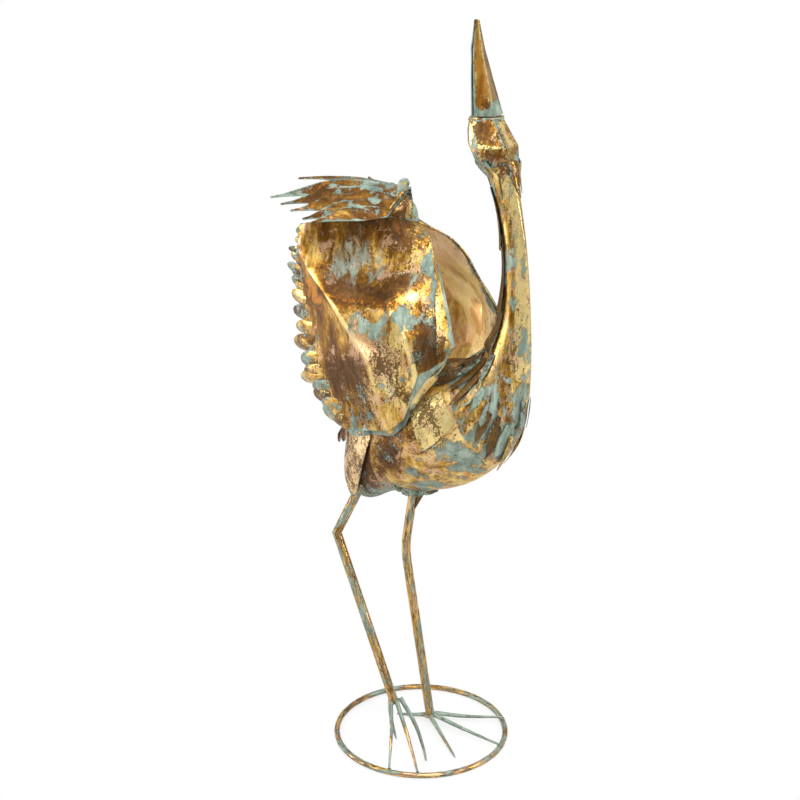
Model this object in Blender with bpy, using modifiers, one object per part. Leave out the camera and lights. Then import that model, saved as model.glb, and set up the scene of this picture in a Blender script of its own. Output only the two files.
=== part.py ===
"""Crane garden statue of cut and welded sheet steel on tube legs, standing on a ring of round rod.
Metres, +Z up. The bird faces -Y, so its right side is -X. The pose is drawn around the ring's centre on the
ground, and the whole figure is then shifted so that its box's bottom centre is the origin."""

import math

import bmesh
import bpy
from mathutils import Vector
from mathutils.bvhtree import BVHTree

# Driving sizes
RING_DIAMETER = 0.300
RING_ROD = 0.010
RING_SIDES = 10
LEG_TUBE = 0.016
TOE_ROD = 0.0085
TOE_TIP_SHARE = 0.45
SHEET = 0.0015
WELD_GAP = 0.0005
LAYER_STEP = 0.0026
LEG_HOLE_GAP = 0.0005

RIGHT, LEFT = -1, 1


def clear_scene():
    for old in list(bpy.data.objects):
        bpy.data.objects.remove(old, do_unlink=True)


def make_material(name, colour, roughness, metallic):
    material = bpy.data.materials.new(name)
    material.use_nodes = True
    shader = material.node_tree.nodes["Principled BSDF"]
    shader.inputs["Base Color"].default_value = (*colour, 1)
    shader.inputs["Roughness"].default_value = roughness
    shader.inputs["Metallic"].default_value = metallic
    return material


clear_scene()
crane = bpy.data.collections.new("crane")
cutters = bpy.data.collections.new("cutters")
bpy.context.scene.collection.children.link(crane)
bpy.context.scene.collection.children.link(cutters)
cutters.hide_render = True
stand = bpy.data.objects.new("stand_centre", None)
crane.objects.link(stand)

GOLD_LEAF = make_material("gold_leaf", (0.58, 0.37, 0.11), 0.35, 0.9)
VERDIGRIS = make_material("verdigris", (0.26, 0.38, 0.32), 0.7, 0.1)
RUST = make_material("rust_brown", (0.12, 0.05, 0.02), 0.6, 0.4)


def add_part(name, data, material):
    part = bpy.data.objects.new(name, data)
    data.materials.append(material)
    crane.objects.link(part)
    part.parent = stand
    return part


def mesh_from(name, points, faces):
    mesh = bpy.data.meshes.new(name)
    mesh.from_pydata([tuple(point) for point in points], [], faces)
    tidy = bmesh.new()
    tidy.from_mesh(mesh)
    bmesh.ops.remove_doubles(tidy, verts=tidy.verts, dist=0.00005)
    bmesh.ops.recalc_face_normals(tidy, faces=tidy.faces)
    tidy.to_mesh(mesh)
    tidy.free()
    return mesh


# Tubes and rods


def rod(name, points, radii, material, resolution=2):
    """A tube along straight runs between the points, as thick at each point as its radius says."""
    curve = bpy.data.curves.new(name, "CURVE")
    curve.dimensions = "3D"
    curve.bevel_depth = radii[0]
    curve.bevel_resolution = resolution
    curve.use_fill_caps = True
    spline = curve.splines.new("POLY")
    spline.points.add(len(points) - 1)
    for point, place, radius in zip(spline.points, points, radii):
        point.co = (*place, 1)
        point.radius = radius / radii[0]
    return add_part(name, curve, material)


def smooth_run(points, steps):
    """Points along a smooth curve through the given ones."""
    ends = [2 * points[0] - points[1], *points, 2 * points[-1] - points[-2]]
    run = []
    for before, start, stop, after in zip(ends, ends[1:], ends[2:], ends[3:]):
        for step in range(steps):
            t = step / steps
            run.append(
                0.5
                * (
                    2 * start
                    + (stop - before) * t
                    + (2 * before - 5 * start + 4 * stop - after) * t**2
                    + (3 * start - before - 3 * stop + after) * t**3
                )
            )
    run.append(points[-1])
    return run


def base_ring():
    rod_radius = RING_ROD / 2
    flat_height = rod_radius * math.cos(math.pi / RING_SIDES)
    bpy.ops.mesh.primitive_torus_add(
        major_radius=RING_DIAMETER / 2,
        minor_radius=rod_radius,
        major_segments=40,
        minor_segments=RING_SIDES,
        location=(0, 0, flat_height),
    )
    ring = bpy.context.object
    bpy.context.collection.objects.unlink(ring)
    ring.name = "base_ring"
    ring.data.materials.append(GOLD_LEAF)
    ring.data.shade_smooth()
    crane.objects.link(ring)
    ring.parent = stand


RING_TOP = RING_ROD * math.cos(math.pi / RING_SIDES)
TOE_ON_RING = RING_TOP + TOE_ROD / 2 * TOE_TIP_SHARE + WELD_GAP

# Joints of the legs
RIGHT_HIP = Vector((-0.055, 0.081, 0.500))
RIGHT_HOCK = Vector((-0.055, 0.141, 0.374))
RIGHT_ANKLE = Vector((-0.062, 0.015, 0.085))
LEFT_HIP = Vector((0.050, 0.046, 0.475))
LEFT_HOCK = Vector((0.050, 0.070, 0.324))
LEFT_ANKLE = Vector((0.039, 0.006, 0.009))
RIGHT_BEND, LEFT_BEND = 0.016, 0.030


def on_ring(degrees):
    """A toe's end on top of the ring, by its angle from the bird's front (-Y) towards its left (+X)."""
    turn = math.radians(degrees)
    reach = RING_DIAMETER / 2
    return Vector((reach * math.sin(turn), -reach * math.cos(turn), TOE_ON_RING))


def bent_at(hip, hock, ankle, reach):
    """The middle line from the hip to just past the hock, with the bend rounded over this reach each way."""
    down = (ankle - hock).normalized()
    above = hock + (hip - hock).normalized() * reach
    below = hock + down * reach
    bend = [above.lerp(hock, share).lerp(hock.lerp(below, share), share) for share in (0.33, 0.67)]
    return [hip, above, *bend, below, below + down * LEG_TUBE / 4]


def leg_tube(name, points):
    rod(name, points, [LEG_TUBE / 2] * len(points), GOLD_LEAF, 3)


def legs():
    thigh = bent_at(RIGHT_HIP, RIGHT_HOCK, RIGHT_ANKLE, RIGHT_BEND)
    leg_tube("right_thigh", thigh)
    down_shank = (RIGHT_ANKLE - RIGHT_HOCK).normalized()
    leg_tube("right_shank", [thigh[-1] + down_shank * WELD_GAP, RIGHT_ANKLE])
    leg_tube("left_leg", bent_at(LEFT_HIP, LEFT_HOCK, LEFT_ANKLE, LEFT_BEND) + [LEFT_ANKLE])


def toe(name, root, knuckles, tip, tip_share=TOE_TIP_SHARE):
    points = smooth_run([root, *knuckles, tip], 2)
    thick, thin = TOE_ROD / 2, TOE_ROD / 2 * tip_share
    radii = [thick + (thin - thick) * i / (len(points) - 1) for i in range(len(points))]
    rod(name, points, radii, VERDIGRIS, 1)


def beside(hock, ankle, across, along, rise, clear):
    """Where a toe's root meets the leg's lower end, on the side that the direction points to. rise is counted
    up the leg, and clear is the room between the leg's wall and the toe's middle line."""
    up = (hock - ankle).normalized()
    out = Vector((across, along, 0))
    out = (out - up * out.dot(up)).normalized()
    return ankle + up * rise + out * (LEG_TUBE / 2 + WELD_GAP + clear)


def toes():
    on_ground = TOE_ROD / 2 * TOE_TIP_SHARE + WELD_GAP
    # The raised foot's toes hang down beside the shank
    foot, rise, clear = (RIGHT_HOCK, RIGHT_ANKLE), TOE_ROD / 2, TOE_ROD / 2
    toe("right_toe_1", beside(*foot, -1, -0.3, rise, clear), [Vector((-0.100, -0.006, 0.052))], on_ring(-77))
    toe("right_toe_2", beside(*foot, -0.5, -1, rise, clear), [Vector((-0.089, -0.034, 0.042))], on_ring(-58))
    toe("right_toe_3", beside(*foot, 0.5, -1, rise, clear),
        [Vector((-0.058, -0.026, 0.054)), Vector((-0.066, -0.049, 0.020))], Vector((-0.078, -0.064, on_ground)))
    toe("right_hind_toe", beside(*foot, 0.5, 1, rise, clear), [Vector((-0.053, 0.029, 0.050))],
        Vector((-0.050, 0.019, on_ground)))
    # The flat foot's toes start square to the leg
    foot, rise, clear = (LEFT_HOCK, LEFT_ANKLE), TOE_ROD / 2, 2 * WELD_GAP
    toe("left_toe_1", beside(*foot, 1, -0.6, rise, clear), [Vector((0.075, -0.046, 0.010))], on_ring(46))
    toe("left_toe_2", beside(*foot, 0.1, -1, rise, clear), [Vector((0.036, -0.070, 0.010))], on_ring(10))
    toe("left_toe_3", beside(*foot, -1, -0.8, rise, clear), [Vector((0.000, -0.045, 0.007))],
        Vector((-0.040, -0.099, on_ground)))
    toe("left_hind_toe", beside(*foot, -0.3, 1, rise, clear), [Vector((0.030, 0.038, 0.007))],
        Vector((0.022, 0.068, on_ground)))


# Body, neck and head: sections from the rump to the bill. Each has its front or under point and its back or
# upper point (y, z) in the bird's middle plane, its half width, how narrow it is towards the front ridge, and
# how far it is turned to the bird's right, in degrees
RUMP = [
    ((0.145, 0.478), (0.140, 0.540), 0.012, 0.2, 0),
    ((0.137, 0.440), (0.122, 0.596), 0.042, 0.2, 0),
    ((0.100, 0.433), (0.086, 0.646), 0.068, 0.2, 0),
    ((0.050, 0.458), (0.044, 0.678), 0.086, 0.2, 0),
]
BELLY = [
    RUMP[-1],
    ((-0.008, 0.474), (0.000, 0.692), 0.096, 0.2, 0),
    ((-0.068, 0.492), (-0.035, 0.702), 0.097, 0.2, 0),
    ((-0.118, 0.519), (-0.062, 0.708), 0.090, 0.25, 0),
    ((-0.156, 0.557), (-0.080, 0.713), 0.078, 0.3, 0),
]
NECK_BASE = [
    BELLY[-1],
    ((-0.184, 0.600), (-0.094, 0.721), 0.063, 0.35, 0),
    ((-0.198, 0.650), (-0.109, 0.731), 0.048, 0.4, 0),
    ((-0.203, 0.700), (-0.126, 0.748), 0.036, 0.45, 0),
]
NECK = [
    NECK_BASE[-1],
    ((-0.204, 0.750), (-0.140, 0.778), 0.027, 0.5, 0),
    ((-0.202, 0.800), (-0.150, 0.815), 0.021, 0.5, 0),
    ((-0.198, 0.860), (-0.153, 0.868), 0.018, 0.5, 2),
    ((-0.191, 0.925), (-0.149, 0.930), 0.017, 0.5, 8),
    ((-0.181, 0.985), (-0.136, 0.982), 0.018, 0.4, 16),
    ((-0.173, 1.030), (-0.124, 1.020), 0.023, 0.3, 26),
]
HEAD = [
    NECK[-1],
    ((-0.170, 1.050), (-0.103, 1.040), 0.035, 0.2, 30),
    ((-0.163, 1.071), (-0.090, 1.070), 0.039, 0.1, 30),
    ((-0.154, 1.090), (-0.086, 1.090), 0.036, 0.1, 30),
    ((-0.139, 1.112), (-0.090, 1.110), 0.027, 0.2, 30),
]
FRAME = RUMP + BELLY[1:] + NECK_BASE[1:] + NECK[1:] + HEAD[1:]
SEAM = 0.0006
SQUARE = 0.85


def turned(point, centre, degrees):
    """The point turned to the bird's right about an upright axis through the centre."""
    turn = -math.radians(degrees)
    reach = point - centre
    across = reach.x * math.cos(turn) - reach.y * math.sin(turn)
    along = reach.x * math.sin(turn) + reach.y * math.cos(turn)
    return Vector((centre.x + across, centre.y + along, point.z))


def on_section(row, angle, stand_off=0.0):
    """A point on a section: angle 0 is the front ridge, 90 the bird's left side and 180 the back."""
    front, back, half_width, ridge, twist = row
    front, back = Vector((0, *front)), Vector((0, *back))
    middle, half = (front + back) / 2, (back - front) / 2
    turn = math.radians(angle)
    across = math.copysign(abs(math.sin(turn)) ** SQUARE, math.sin(turn))
    narrow = 1 - ridge * max(0.0, math.cos(turn)) ** 2
    reach = Vector((half_width * across * narrow, 0, 0)) - half * math.cos(turn)
    reach += reach.normalized() * stand_off
    return turned(middle + reach, middle, twist)


def on_body(station, angle, stand_off=0.0):
    """A point on the bird by its place along the sections, whole numbers being the sections themselves."""
    low = min(int(station), len(FRAME) - 2)
    below = on_section(FRAME[low], angle, stand_off)
    return below.lerp(on_section(FRAME[low + 1], angle, stand_off), station - low)


def loft(name, rings, material):
    count = len(rings[0])
    points = [point for ring in rings for point in ring]
    faces = [tuple(range(count)), tuple(range(len(points) - 1, len(points) - count - 1, -1))]
    for level in range(len(rings) - 1):
        for i in range(count):
            j = (i + 1) % count
            base, over = level * count, (level + 1) * count
            faces.append((base + i, base + j, over + j, over + i))
    return add_part(name, mesh_from(name, points, faces), material)


def shell(name, first, rows, count, seam_share):
    """One welded shell, its lower end a seam's width from the shell before it."""
    stations = [first + i for i in range(len(rows))]
    stations[0] += seam_share
    rings = [[on_body(station, 360 * i / count) for i in range(count)] for station in stations]
    return loft(name, rings, GOLD_LEAF)


def leg_hole(body, name, hip, knee):
    way = (hip - knee).normalized()
    top, bottom = hip + way * WELD_GAP * 2, knee.lerp(hip, 0.3)
    bpy.ops.mesh.primitive_cylinder_add(
        vertices=16,
        radius=LEG_TUBE / 2 + LEG_HOLE_GAP,
        depth=(top - bottom).length,
        location=(top + bottom) / 2,
        rotation=way.to_track_quat("Z", "Y").to_euler(),
    )
    cutter = bpy.context.object
    bpy.context.collection.objects.unlink(cutter)
    cutter.name = name
    cutters.objects.link(cutter)
    cutter.hide_render = True
    cutter.display_type = "WIRE"
    cutter.parent = stand
    hole = body.modifiers.new(name, "BOOLEAN")
    hole.object = cutter
    hole.solver = "EXACT"


def body():
    rump = shell("rump_shell", 0, RUMP, 16, 0.0)
    belly = shell("belly_shell", len(RUMP) - 1, BELLY, 16, SEAM / 0.058)
    first_of_neck_base = len(RUMP) + len(BELLY) - 2
    neck_base = shell("neck_base_shell", first_of_neck_base, NECK_BASE, 14, SEAM / 0.040)
    first_of_neck = first_of_neck_base + len(NECK_BASE) - 1
    shell("neck_shell", first_of_neck, NECK, 10, SEAM / 0.028)
    shell("head_shell", first_of_neck + len(NECK) - 1, HEAD, 8, SEAM / 0.020)
    leg_hole(rump, "right_thigh_hole", RIGHT_HIP, RIGHT_HOCK)
    leg_hole(rump, "left_leg_hole_in_rump", LEFT_HIP, LEFT_HOCK)
    leg_hole(belly, "left_leg_hole_in_belly", LEFT_HIP, LEFT_HOCK)
    return rump, belly, neck_base


# Bill: two halves folded to a V, by height: middle (y, z), half width, depth of the lower and of the upper half
BILL = [
    ((-0.117, 1.1135), 0.0255, 0.019, 0.020),
    ((-0.106, 1.167), 0.0170, 0.014, 0.014),
    ((-0.098, 1.211), 0.0100, 0.010, 0.010),
    ((-0.0955, 1.240), 0.0050, 0.005, 0.005),
    ((-0.0945, 1.254), 0.0025, 0.0025, 0.0025),
]
BILL_TURN = 30
BILL_SLIT = 0.0012


def bill_half(name, side, depth_column):
    """side -1 is the lower half, its keel to the front, and +1 the upper half behind it."""
    rings = []
    for row in BILL:
        (y, z), half_width, depth = row[0], row[1], row[depth_column]
        middle = Vector((0, y, z))
        edge = middle + Vector((0, side * BILL_SLIT / 2, 0))
        fold = edge + Vector((0, side * depth, 0))
        inner = Vector((0, -side * min(SHEET * 1.6, depth * 0.6), 0))
        wall = min(SHEET * 1.3, half_width * 0.5)
        right, left = edge - Vector((half_width, 0, 0)), edge + Vector((half_width, 0, 0))
        ring = [right, fold, left, left - Vector((wall, 0, 0)), fold + inner, right + Vector((wall, 0, 0))]
        rings.append([turned(point, middle, BILL_TURN) for point in ring])
    return loft(name, rings, GOLD_LEAF)


def bill():
    bill_half("bill_lower", -1, 2)
    bill_half("bill_upper", 1, 3)


# Sheets: an open surface from a function of two shares, with its wall from Solidify


def sheet(name, place, rows, columns, material, thickness=SHEET):
    points = [place(i / rows, j / columns) for i in range(rows + 1) for j in range(columns + 1)]
    faces = []
    for i in range(rows):
        for j in range(columns):
            corner = i * (columns + 1) + j
            faces.append((corner, corner + 1, corner + columns + 2, corner + columns + 1))
    part = add_part(name, mesh_from(name, points, faces), material)
    wall = part.modifiers.new("wall", "SOLIDIFY")
    wall.thickness = thickness
    wall.offset = 0
    return part


def scallop(share, tongues):
    """How far a rounded tongue stands out at this share of the way along an edge cut into tongues."""
    across = (share * tongues) % 1.0
    return math.sqrt(max(0.0, 1 - (2 * across - 1) ** 2))


def barb(share, tongues):
    """The same for a pointed tongue."""
    across = (share * tongues) % 1.0
    return 1 - abs(2 * across - 1)


# Collar, side plates, nape plates, saddle and tail, all laid on the body
ON_BODY = SHEET / 2 + WELD_GAP + 0.0004
COLLARS = [
    # name, station of the root, share that the tongues reach back to, first and last angle, tongues, flare
    ("collar_lower", 8.1, 1.25, 14, 134, 7, 0.008),
    ("collar_upper", 9.6, 1.10, 40, 172, 6, 0.010),
]


def collar(side, word):
    for name, root, reach, first, last, tongues, flare in COLLARS:

        def place(down, along, root=root, reach=reach, first=first, last=last, tongues=tongues, flare=flare):
            angle = side * (first + (last - first) * along)
            length = 0.45 + 0.55 * barb(along, tongues)
            return on_body(root - reach * down * length, angle, ON_BODY + flare * down**2 * length)

        sheet(f"{word}_{name}", place, 3, tongues * 2, VERDIGRIS, 0.0012)


def side_plate(side, word):
    def place(down, along):
        return on_body(6.55 - 1.25 * along, side * (118 - 42 * down - 6 * along), ON_BODY)

    sheet(f"{word}_side_plate", place, 5, 5, GOLD_LEAF, 0.0012)


NAPE_PLATES = [("nape_plate_lower", 10.3, 12.4), ("nape_plate_middle", 12.0, 14.1), ("nape_plate_upper", 13.7, 15.6)]


def nape_plates():
    for name, low, high in NAPE_PLATES:
        def place(up, along, low=low, high=high):
            lift = ON_BODY + (LAYER_STEP + 0.0004) * max(0.0, 1 - up * 2.2)
            return on_body(low + (high - low) * up, 180 + 62 * (2 * along - 1), lift)

        sheet(name, place, 6, 4, RUST, 0.0012)


def saddle():
    def place(forward, along):
        return on_body(3.2 + 4.7 * forward, 180 + 40 * (2 * along - 1), ON_BODY)

    sheet("saddle_plate", place, 12, 6, RUST, 0.0012)


TAIL_TOP, TAIL_DROP, TAIL_HALF_WIDTH = 0.612, 0.085, 0.052


def tail(rump_tree):
    def place(down, along):
        across = 2 * along - 1
        drop = TAIL_DROP * (1 - 0.18 * across**2) * (0.8 + 0.2 * scallop(along, 5))
        spot = Vector((TAIL_HALF_WIDTH * across * (0.75 + 0.25 * down), 0.3, TAIL_TOP - drop * down))
        hit = rump_tree.ray_cast(spot, Vector((0, -1, 0)))[0]
        back = hit.y if hit else 0.09
        hanging = 0.152 - 0.012 * across**2
        return Vector((spot.x, (back + ON_BODY) * (1 - down) + max(hanging, back + 0.003) * down, spot.z))

    sheet("tail", place, 4, 20, GOLD_LEAF)


# Wings. Four ribs from the top fold to the lower edge, each point given as distance out from the middle plane,
# y and z: the leading edge, the knuckle fold, the bulging crease and the trailing edge
FRONT_RIB = [
    (0.005, 0.007, 0.930), (0.024, -0.029, 0.910), (0.045, -0.049, 0.881), (0.059, -0.068, 0.838),
    (0.074, -0.093, 0.788), (0.082, -0.101, 0.743), (0.105, -0.056, 0.693),
]
KNUCKLE_RIB = [
    (0.050, 0.028, 0.947), (0.056, 0.022, 0.911), (0.066, 0.013, 0.869), (0.118, -0.012, 0.824),
    (0.122, -0.047, 0.778), (0.108, -0.060, 0.713), (0.108, -0.037, 0.636),
]
CREASE_RIB = [
    (0.105, 0.154, 0.930), (0.112, 0.159, 0.899), (0.122, 0.142, 0.861), (0.138, 0.094, 0.828),
    (0.150, 0.042, 0.785), (0.156, 0.001, 0.744), (0.118, -0.013, 0.613),
]
TRAILING_RIB = [
    (0.106, 0.167, 0.927), (0.108, 0.171, 0.894), (0.108, 0.174, 0.863), (0.100, 0.171, 0.798),
    (0.100, 0.165, 0.731), (0.100, 0.146, 0.656), (0.104, 0.082, 0.592),
]
WING_RIBS = [FRONT_RIB, KNUCKLE_RIB, CREASE_RIB, TRAILING_RIB]
LAST_STATION = len(FRONT_RIB) - 1
DISH_DEPTH = 0.018
INWARD = Vector((-0.94, 0.34, 0.0))
TO_THE_REAR = Vector((-0.25, 0.95, -0.15))
LINING_STEP = 0.012
LINING_SEAT = 0.0045


def along_rib(rib, station):
    low = max(0, min(int(station), LAST_STATION - 1))
    return Vector(rib[low]).lerp(Vector(rib[low + 1]), station - low)


def on_wing(chord, station):
    """The wing's outer surface: chord 0 is the leading edge and 3 the trailing edge, station 0 the top."""
    low = max(0, min(int(chord), 2))
    spot = along_rib(WING_RIBS[low], station).lerp(along_rib(WING_RIBS[low + 1], station), chord - low)
    if 1 < chord < 2 and station < 3:
        spot.x -= DISH_DEPTH * math.sin(math.pi * (chord - 1)) * math.sin(math.pi * station / 3)
    return spot


def on_side(spot, side):
    return Vector((side * spot.x, spot.y, spot.z))


CHORD_STEPS = [0, 0.5, 1, 1.25, 1.5, 1.75, 2, 2.5, 3]


def stepped(share, steps):
    """The value at a share of the way through a list of steps."""
    spot = share * (len(steps) - 1)
    low = min(int(spot), len(steps) - 2)
    return steps[low] + (steps[low + 1] - steps[low]) * (spot - low)


def wing_plates(side, word, body_tree):
    columns = len(CHORD_STEPS) - 1

    def outer(down, along):
        return on_side(on_wing(stepped(along, CHORD_STEPS), LAST_STATION * down), side)

    sheet(f"{word}_wing_outer_plate", outer, 2 * LAST_STATION, columns, GOLD_LEAF)

    def lining(down, along):
        chord = 0.06 + 2.9 * stepped(along, CHORD_STEPS) / 3
        station = 0.35 + (LAST_STATION - 0.35) * down
        spot = on_wing(chord, station) + INWARD * LINING_STEP
        lower = max(0.0, station - 4) / 2
        spot.z -= 0.014 * lower
        if down == 1:
            ray = Vector((side * 0.3, spot.y, spot.z))
            hit = body_tree.ray_cast(ray, Vector((-side, 0, 0)))[0]
            if hit:
                spot.x = abs(hit.x) + LINING_SEAT
        return on_side(spot, side)

    sheet(f"{word}_wing_lining", lining, 12, columns, VERDIGRIS)


SCALLOP_STRIPS = [
    # name, first and last station, tongues, how far they stand out, layer, first chord
    ("upper_scallops", 0.1, 2.4, 3, 0.010, 1, 2.2),
    ("outer_scallops", 2.45, 6.0, 8, 0.012, 1, 2.45),
    ("inner_scallops", 1.2, 5.8, 9, 0.026, 2, 2.45),
]


def scallop_strips(side, word):
    for name, top, bottom, tongues, reach, layer, first_chord in SCALLOP_STRIPS:
        def place(out, along, top=top, bottom=bottom, tongues=tongues, reach=reach, layer=layer,
                  first_chord=first_chord):
            station = top + (bottom - top) * along
            spot = on_wing(first_chord + (3 - first_chord) * min(1.0, out * 2), station)
            stand_out = reach * (0.65 + 1.0 * along) * scallop(along, tongues)
            spot += TO_THE_REAR * stand_out * max(0.0, out * 2 - 1)
            return on_side(spot + INWARD * layer * LAYER_STEP, side)

        sheet(f"{word}_{name}", place, 2, tongues * 4, VERDIGRIS, 0.0012)


# The hand: four long feathers folded inwards over the back, on a twisted surface between a root line and an end
# line. Each line runs from the top fold to the highest feather, as out, y, z
HAND_ROOT_LOW, HAND_ROOT_HIGH = Vector((0.049, 0.030, 0.951)), Vector((0.012, 0.016, 0.983))
HAND_END_LOW = {RIGHT: Vector((0.103, 0.160, 0.934)), LEFT: Vector((0.086, 0.162, 0.978))}
HAND_END_HIGH = {RIGHT: Vector((0.036, 0.288, 0.942)), LEFT: Vector((0.036, 0.292, 0.948))}
HAND_UP = Vector((0.35, 0.0, 0.94)).normalized()
# Each feather's place on the root line and on the end line, and its half width
HAND_FEATHERS = [(0.14, 0.13, 0.0150), (0.38, 0.45, 0.0140), (0.62, 0.72, 0.0140), (0.84, 1.00, 0.0130)]
FEATHER_WALL = 0.0012


def on_hand(side, out, rise, layer):
    root = HAND_ROOT_LOW.lerp(HAND_ROOT_HIGH, rise)
    end = HAND_END_LOW[side].lerp(HAND_END_HIGH[side], rise)
    return root.lerp(end, out) + HAND_UP * layer * LAYER_STEP


def primaries(side, word):
    for i, (root_rise, end_rise, half_width) in enumerate(HAND_FEATHERS):
        def place(out, along, i=i, root_rise=root_rise, end_rise=end_rise, half_width=half_width):
            reach = 1.02 * out - 0.02
            span = (on_hand(side, reach, 1, 0) - on_hand(side, reach, 0, 0)).length
            width = half_width * (0.95 + 0.2 * math.sin(math.pi * min(1.0, out * 1.4)))
            width = max(0.0006, width * (1 - out**2.4) ** 0.9)
            rise = root_rise + (end_rise - root_rise) * out + (2 * along - 1) * width / span
            return on_side(on_hand(side, reach, rise, i + 0.04 * (1 - abs(2 * along - 1))), side)

        sheet(f"{word}_primary_{i + 1}", place, 7, 2, GOLD_LEAF, FEATHER_WALL)


def thumb_feather(side, word):
    def place(out, along):
        width = 0.0070 * (0.75 + 0.35 * out) * math.sqrt(max(0.02, 1 - max(0.0, out * 1.25 - 0.25) ** 4))
        spot = on_hand(side, 0.050 - 0.020 * out, 0.02 + 1.26 * out, len(HAND_FEATHERS) + 0.2)
        return on_side(spot + Vector((0.30, 0.93, -0.10)) * (2 * along - 1) * width, side)

    sheet(f"{word}_thumb_feather", place, 5, 2, VERDIGRIS, FEATHER_WALL)


def shoulder_plate(side, word):
    """The three-cornered plate that closes the front between the hand's root and the top fold."""

    def place(down, along):
        top = Vector((0.012, 0.010, 0.980))
        low = Vector((0.0485, 0.0265, 0.9475)).lerp(Vector((0.0060, 0.0060, 0.9325)), along)
        return on_side(top.lerp(low, 0.06 + 0.94 * down), side)

    sheet(f"{word}_shoulder_plate", place, 3, 3, GOLD_LEAF)


def covert(side, word):
    """The narrow pointed plate that stands in front of the leading edge."""

    def place(down, along):
        chord = -0.12 + (0.02 + 0.46 * down) * along
        return on_side(on_wing(chord, 2.05 + 2.6 * down) + Vector((0.60, -0.80, 0)) * 0.0040, side)

    sheet(f"{word}_covert", place, 5, 2, GOLD_LEAF)


def left_leg_front(height):
    """How far forward (y) the left leg's wall reaches at a height above the hock."""
    leg = LEFT_HIP - LEFT_HOCK
    share = (LEFT_HIP.z - height) / leg.z
    return LEFT_HIP.lerp(LEFT_HOCK, share).y - (LEG_TUBE / 2 + WELD_GAP) * leg.length / leg.z


def gusset():
    """The dark three-cornered plate between the left leg and the belly."""
    top, foot, belly_corner = 0.468, 0.404, (0.004, 0.481)
    curve = bpy.data.curves.new("left_gusset", "CURVE")
    curve.dimensions = "2D"
    curve.fill_mode = "BOTH"
    curve.extrude = SHEET
    spline = curve.splines.new("POLY")
    corners = [(left_leg_front(top), top), (left_leg_front(foot), foot), belly_corner]
    spline.points.add(len(corners) - 1)
    for point, (y, z) in zip(spline.points, corners):
        point.co = (y, z, 0, 1)
    spline.use_cyclic_u = True
    part = add_part("left_gusset", curve, RUST)
    part.location = (LEFT_HIP.x, 0, 0)
    part.rotation_euler = (math.radians(90), 0, math.radians(90))


def tree_of(part):
    return BVHTree.FromPolygons(
        [vertex.co.copy() for vertex in part.data.vertices],
        [tuple(face.vertices) for face in part.data.polygons],
    )


base_ring()
legs()
toes()
rump, belly, neck_base = body()
bill()
nape_plates()
saddle()
tail(tree_of(rump))
gusset()
for side, word in ((RIGHT, "right"), (LEFT, "left")):
    collar(side, word)
    side_plate(side, word)
    wing_plates(side, word, tree_of(belly))
    scallop_strips(side, word)
    primaries(side, word)
    thumb_feather(side, word)
    shoulder_plate(side, word)
    covert(side, word)


def centre_on_base():
    """Moves the whole figure so that the origin is the middle of its box's underside."""
    bpy.context.view_layer.update()
    graph = bpy.context.evaluated_depsgraph_get()
    lowest, highest = Vector((9, 9, 9)), Vector((-9, -9, -9))
    for part in crane.objects:
        if part.type == "EMPTY":
            continue
        shape = part.evaluated_get(graph)
        for corner in shape.to_mesh().vertices:
            spot = part.matrix_world @ corner.co
            for axis in range(3):
                lowest[axis] = min(lowest[axis], spot[axis])
                highest[axis] = max(highest[axis], spot[axis])
        shape.to_mesh_clear()
    middle = (lowest + highest) / 2
    stand.location = (-middle.x, -middle.y, -lowest.z)


centre_on_base()
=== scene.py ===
"""Looks of the crane garden statue: cut, hammered and welded sheet steel in verdigris paint, torn gold leaf and
rust-brown patina. Metres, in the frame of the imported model. The bird faces -Y, so its right side is -X."""

import math

import bmesh
import bpy
import numpy as np
from mathutils import Matrix, Vector, noise
from mathutils.bvhtree import BVHTree


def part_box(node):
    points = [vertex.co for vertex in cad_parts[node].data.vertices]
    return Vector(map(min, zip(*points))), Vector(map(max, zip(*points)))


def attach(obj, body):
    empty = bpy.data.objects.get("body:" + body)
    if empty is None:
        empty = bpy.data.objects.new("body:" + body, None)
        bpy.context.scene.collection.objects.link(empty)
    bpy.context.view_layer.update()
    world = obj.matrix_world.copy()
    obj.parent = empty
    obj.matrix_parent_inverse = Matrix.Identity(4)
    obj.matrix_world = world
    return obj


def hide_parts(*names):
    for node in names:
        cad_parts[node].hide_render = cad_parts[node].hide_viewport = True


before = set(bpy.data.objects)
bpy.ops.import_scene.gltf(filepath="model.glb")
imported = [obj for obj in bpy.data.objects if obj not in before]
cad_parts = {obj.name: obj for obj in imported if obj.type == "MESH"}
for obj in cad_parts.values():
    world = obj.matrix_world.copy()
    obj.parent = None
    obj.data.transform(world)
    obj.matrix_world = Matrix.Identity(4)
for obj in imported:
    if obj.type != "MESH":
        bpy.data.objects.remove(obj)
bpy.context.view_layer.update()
ring_low, ring_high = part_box("base_ring")
RING_CENTRE = Vector(((ring_low.x + ring_high.x) / 2, (ring_low.y + ring_high.y) / 2, 0.0))

# Camera of the photograph, counted from the middle of the ground ring
CAMERA_SPOT = Vector((-2.075, -1.407, 1.524))
CAMERA_TURN = -55.0
CAMERA_DROP = 19.63
CAMERA_ANGLE = 28.0

# Sizes of the stand and the sheet
RING_RADIUS = 0.150
RING_ROD = 0.010
RING_LIFT = 0.00476
LEG_TUBE = 0.016
TOE_ROD = 0.0085
TOE_TIP = TOE_ROD * 0.225
SHEET, THIN_SHEET, LEAF_SHEET = 0.0013, 0.0011, 0.0010
RIGHT, LEFT = -1, 1
SIDES = ((RIGHT, "right"), (LEFT, "left"))


def srgb(red, green, blue):
    """A paint's colour from its 8-bit values, as the shader wants it."""
    shares = (red / 255, green / 255, blue / 255)
    return tuple(v / 12.92 if v <= 0.04045 else ((v + 0.055) / 1.055) ** 2.4 for v in shares) + (1.0,)


# Shader building


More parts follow.
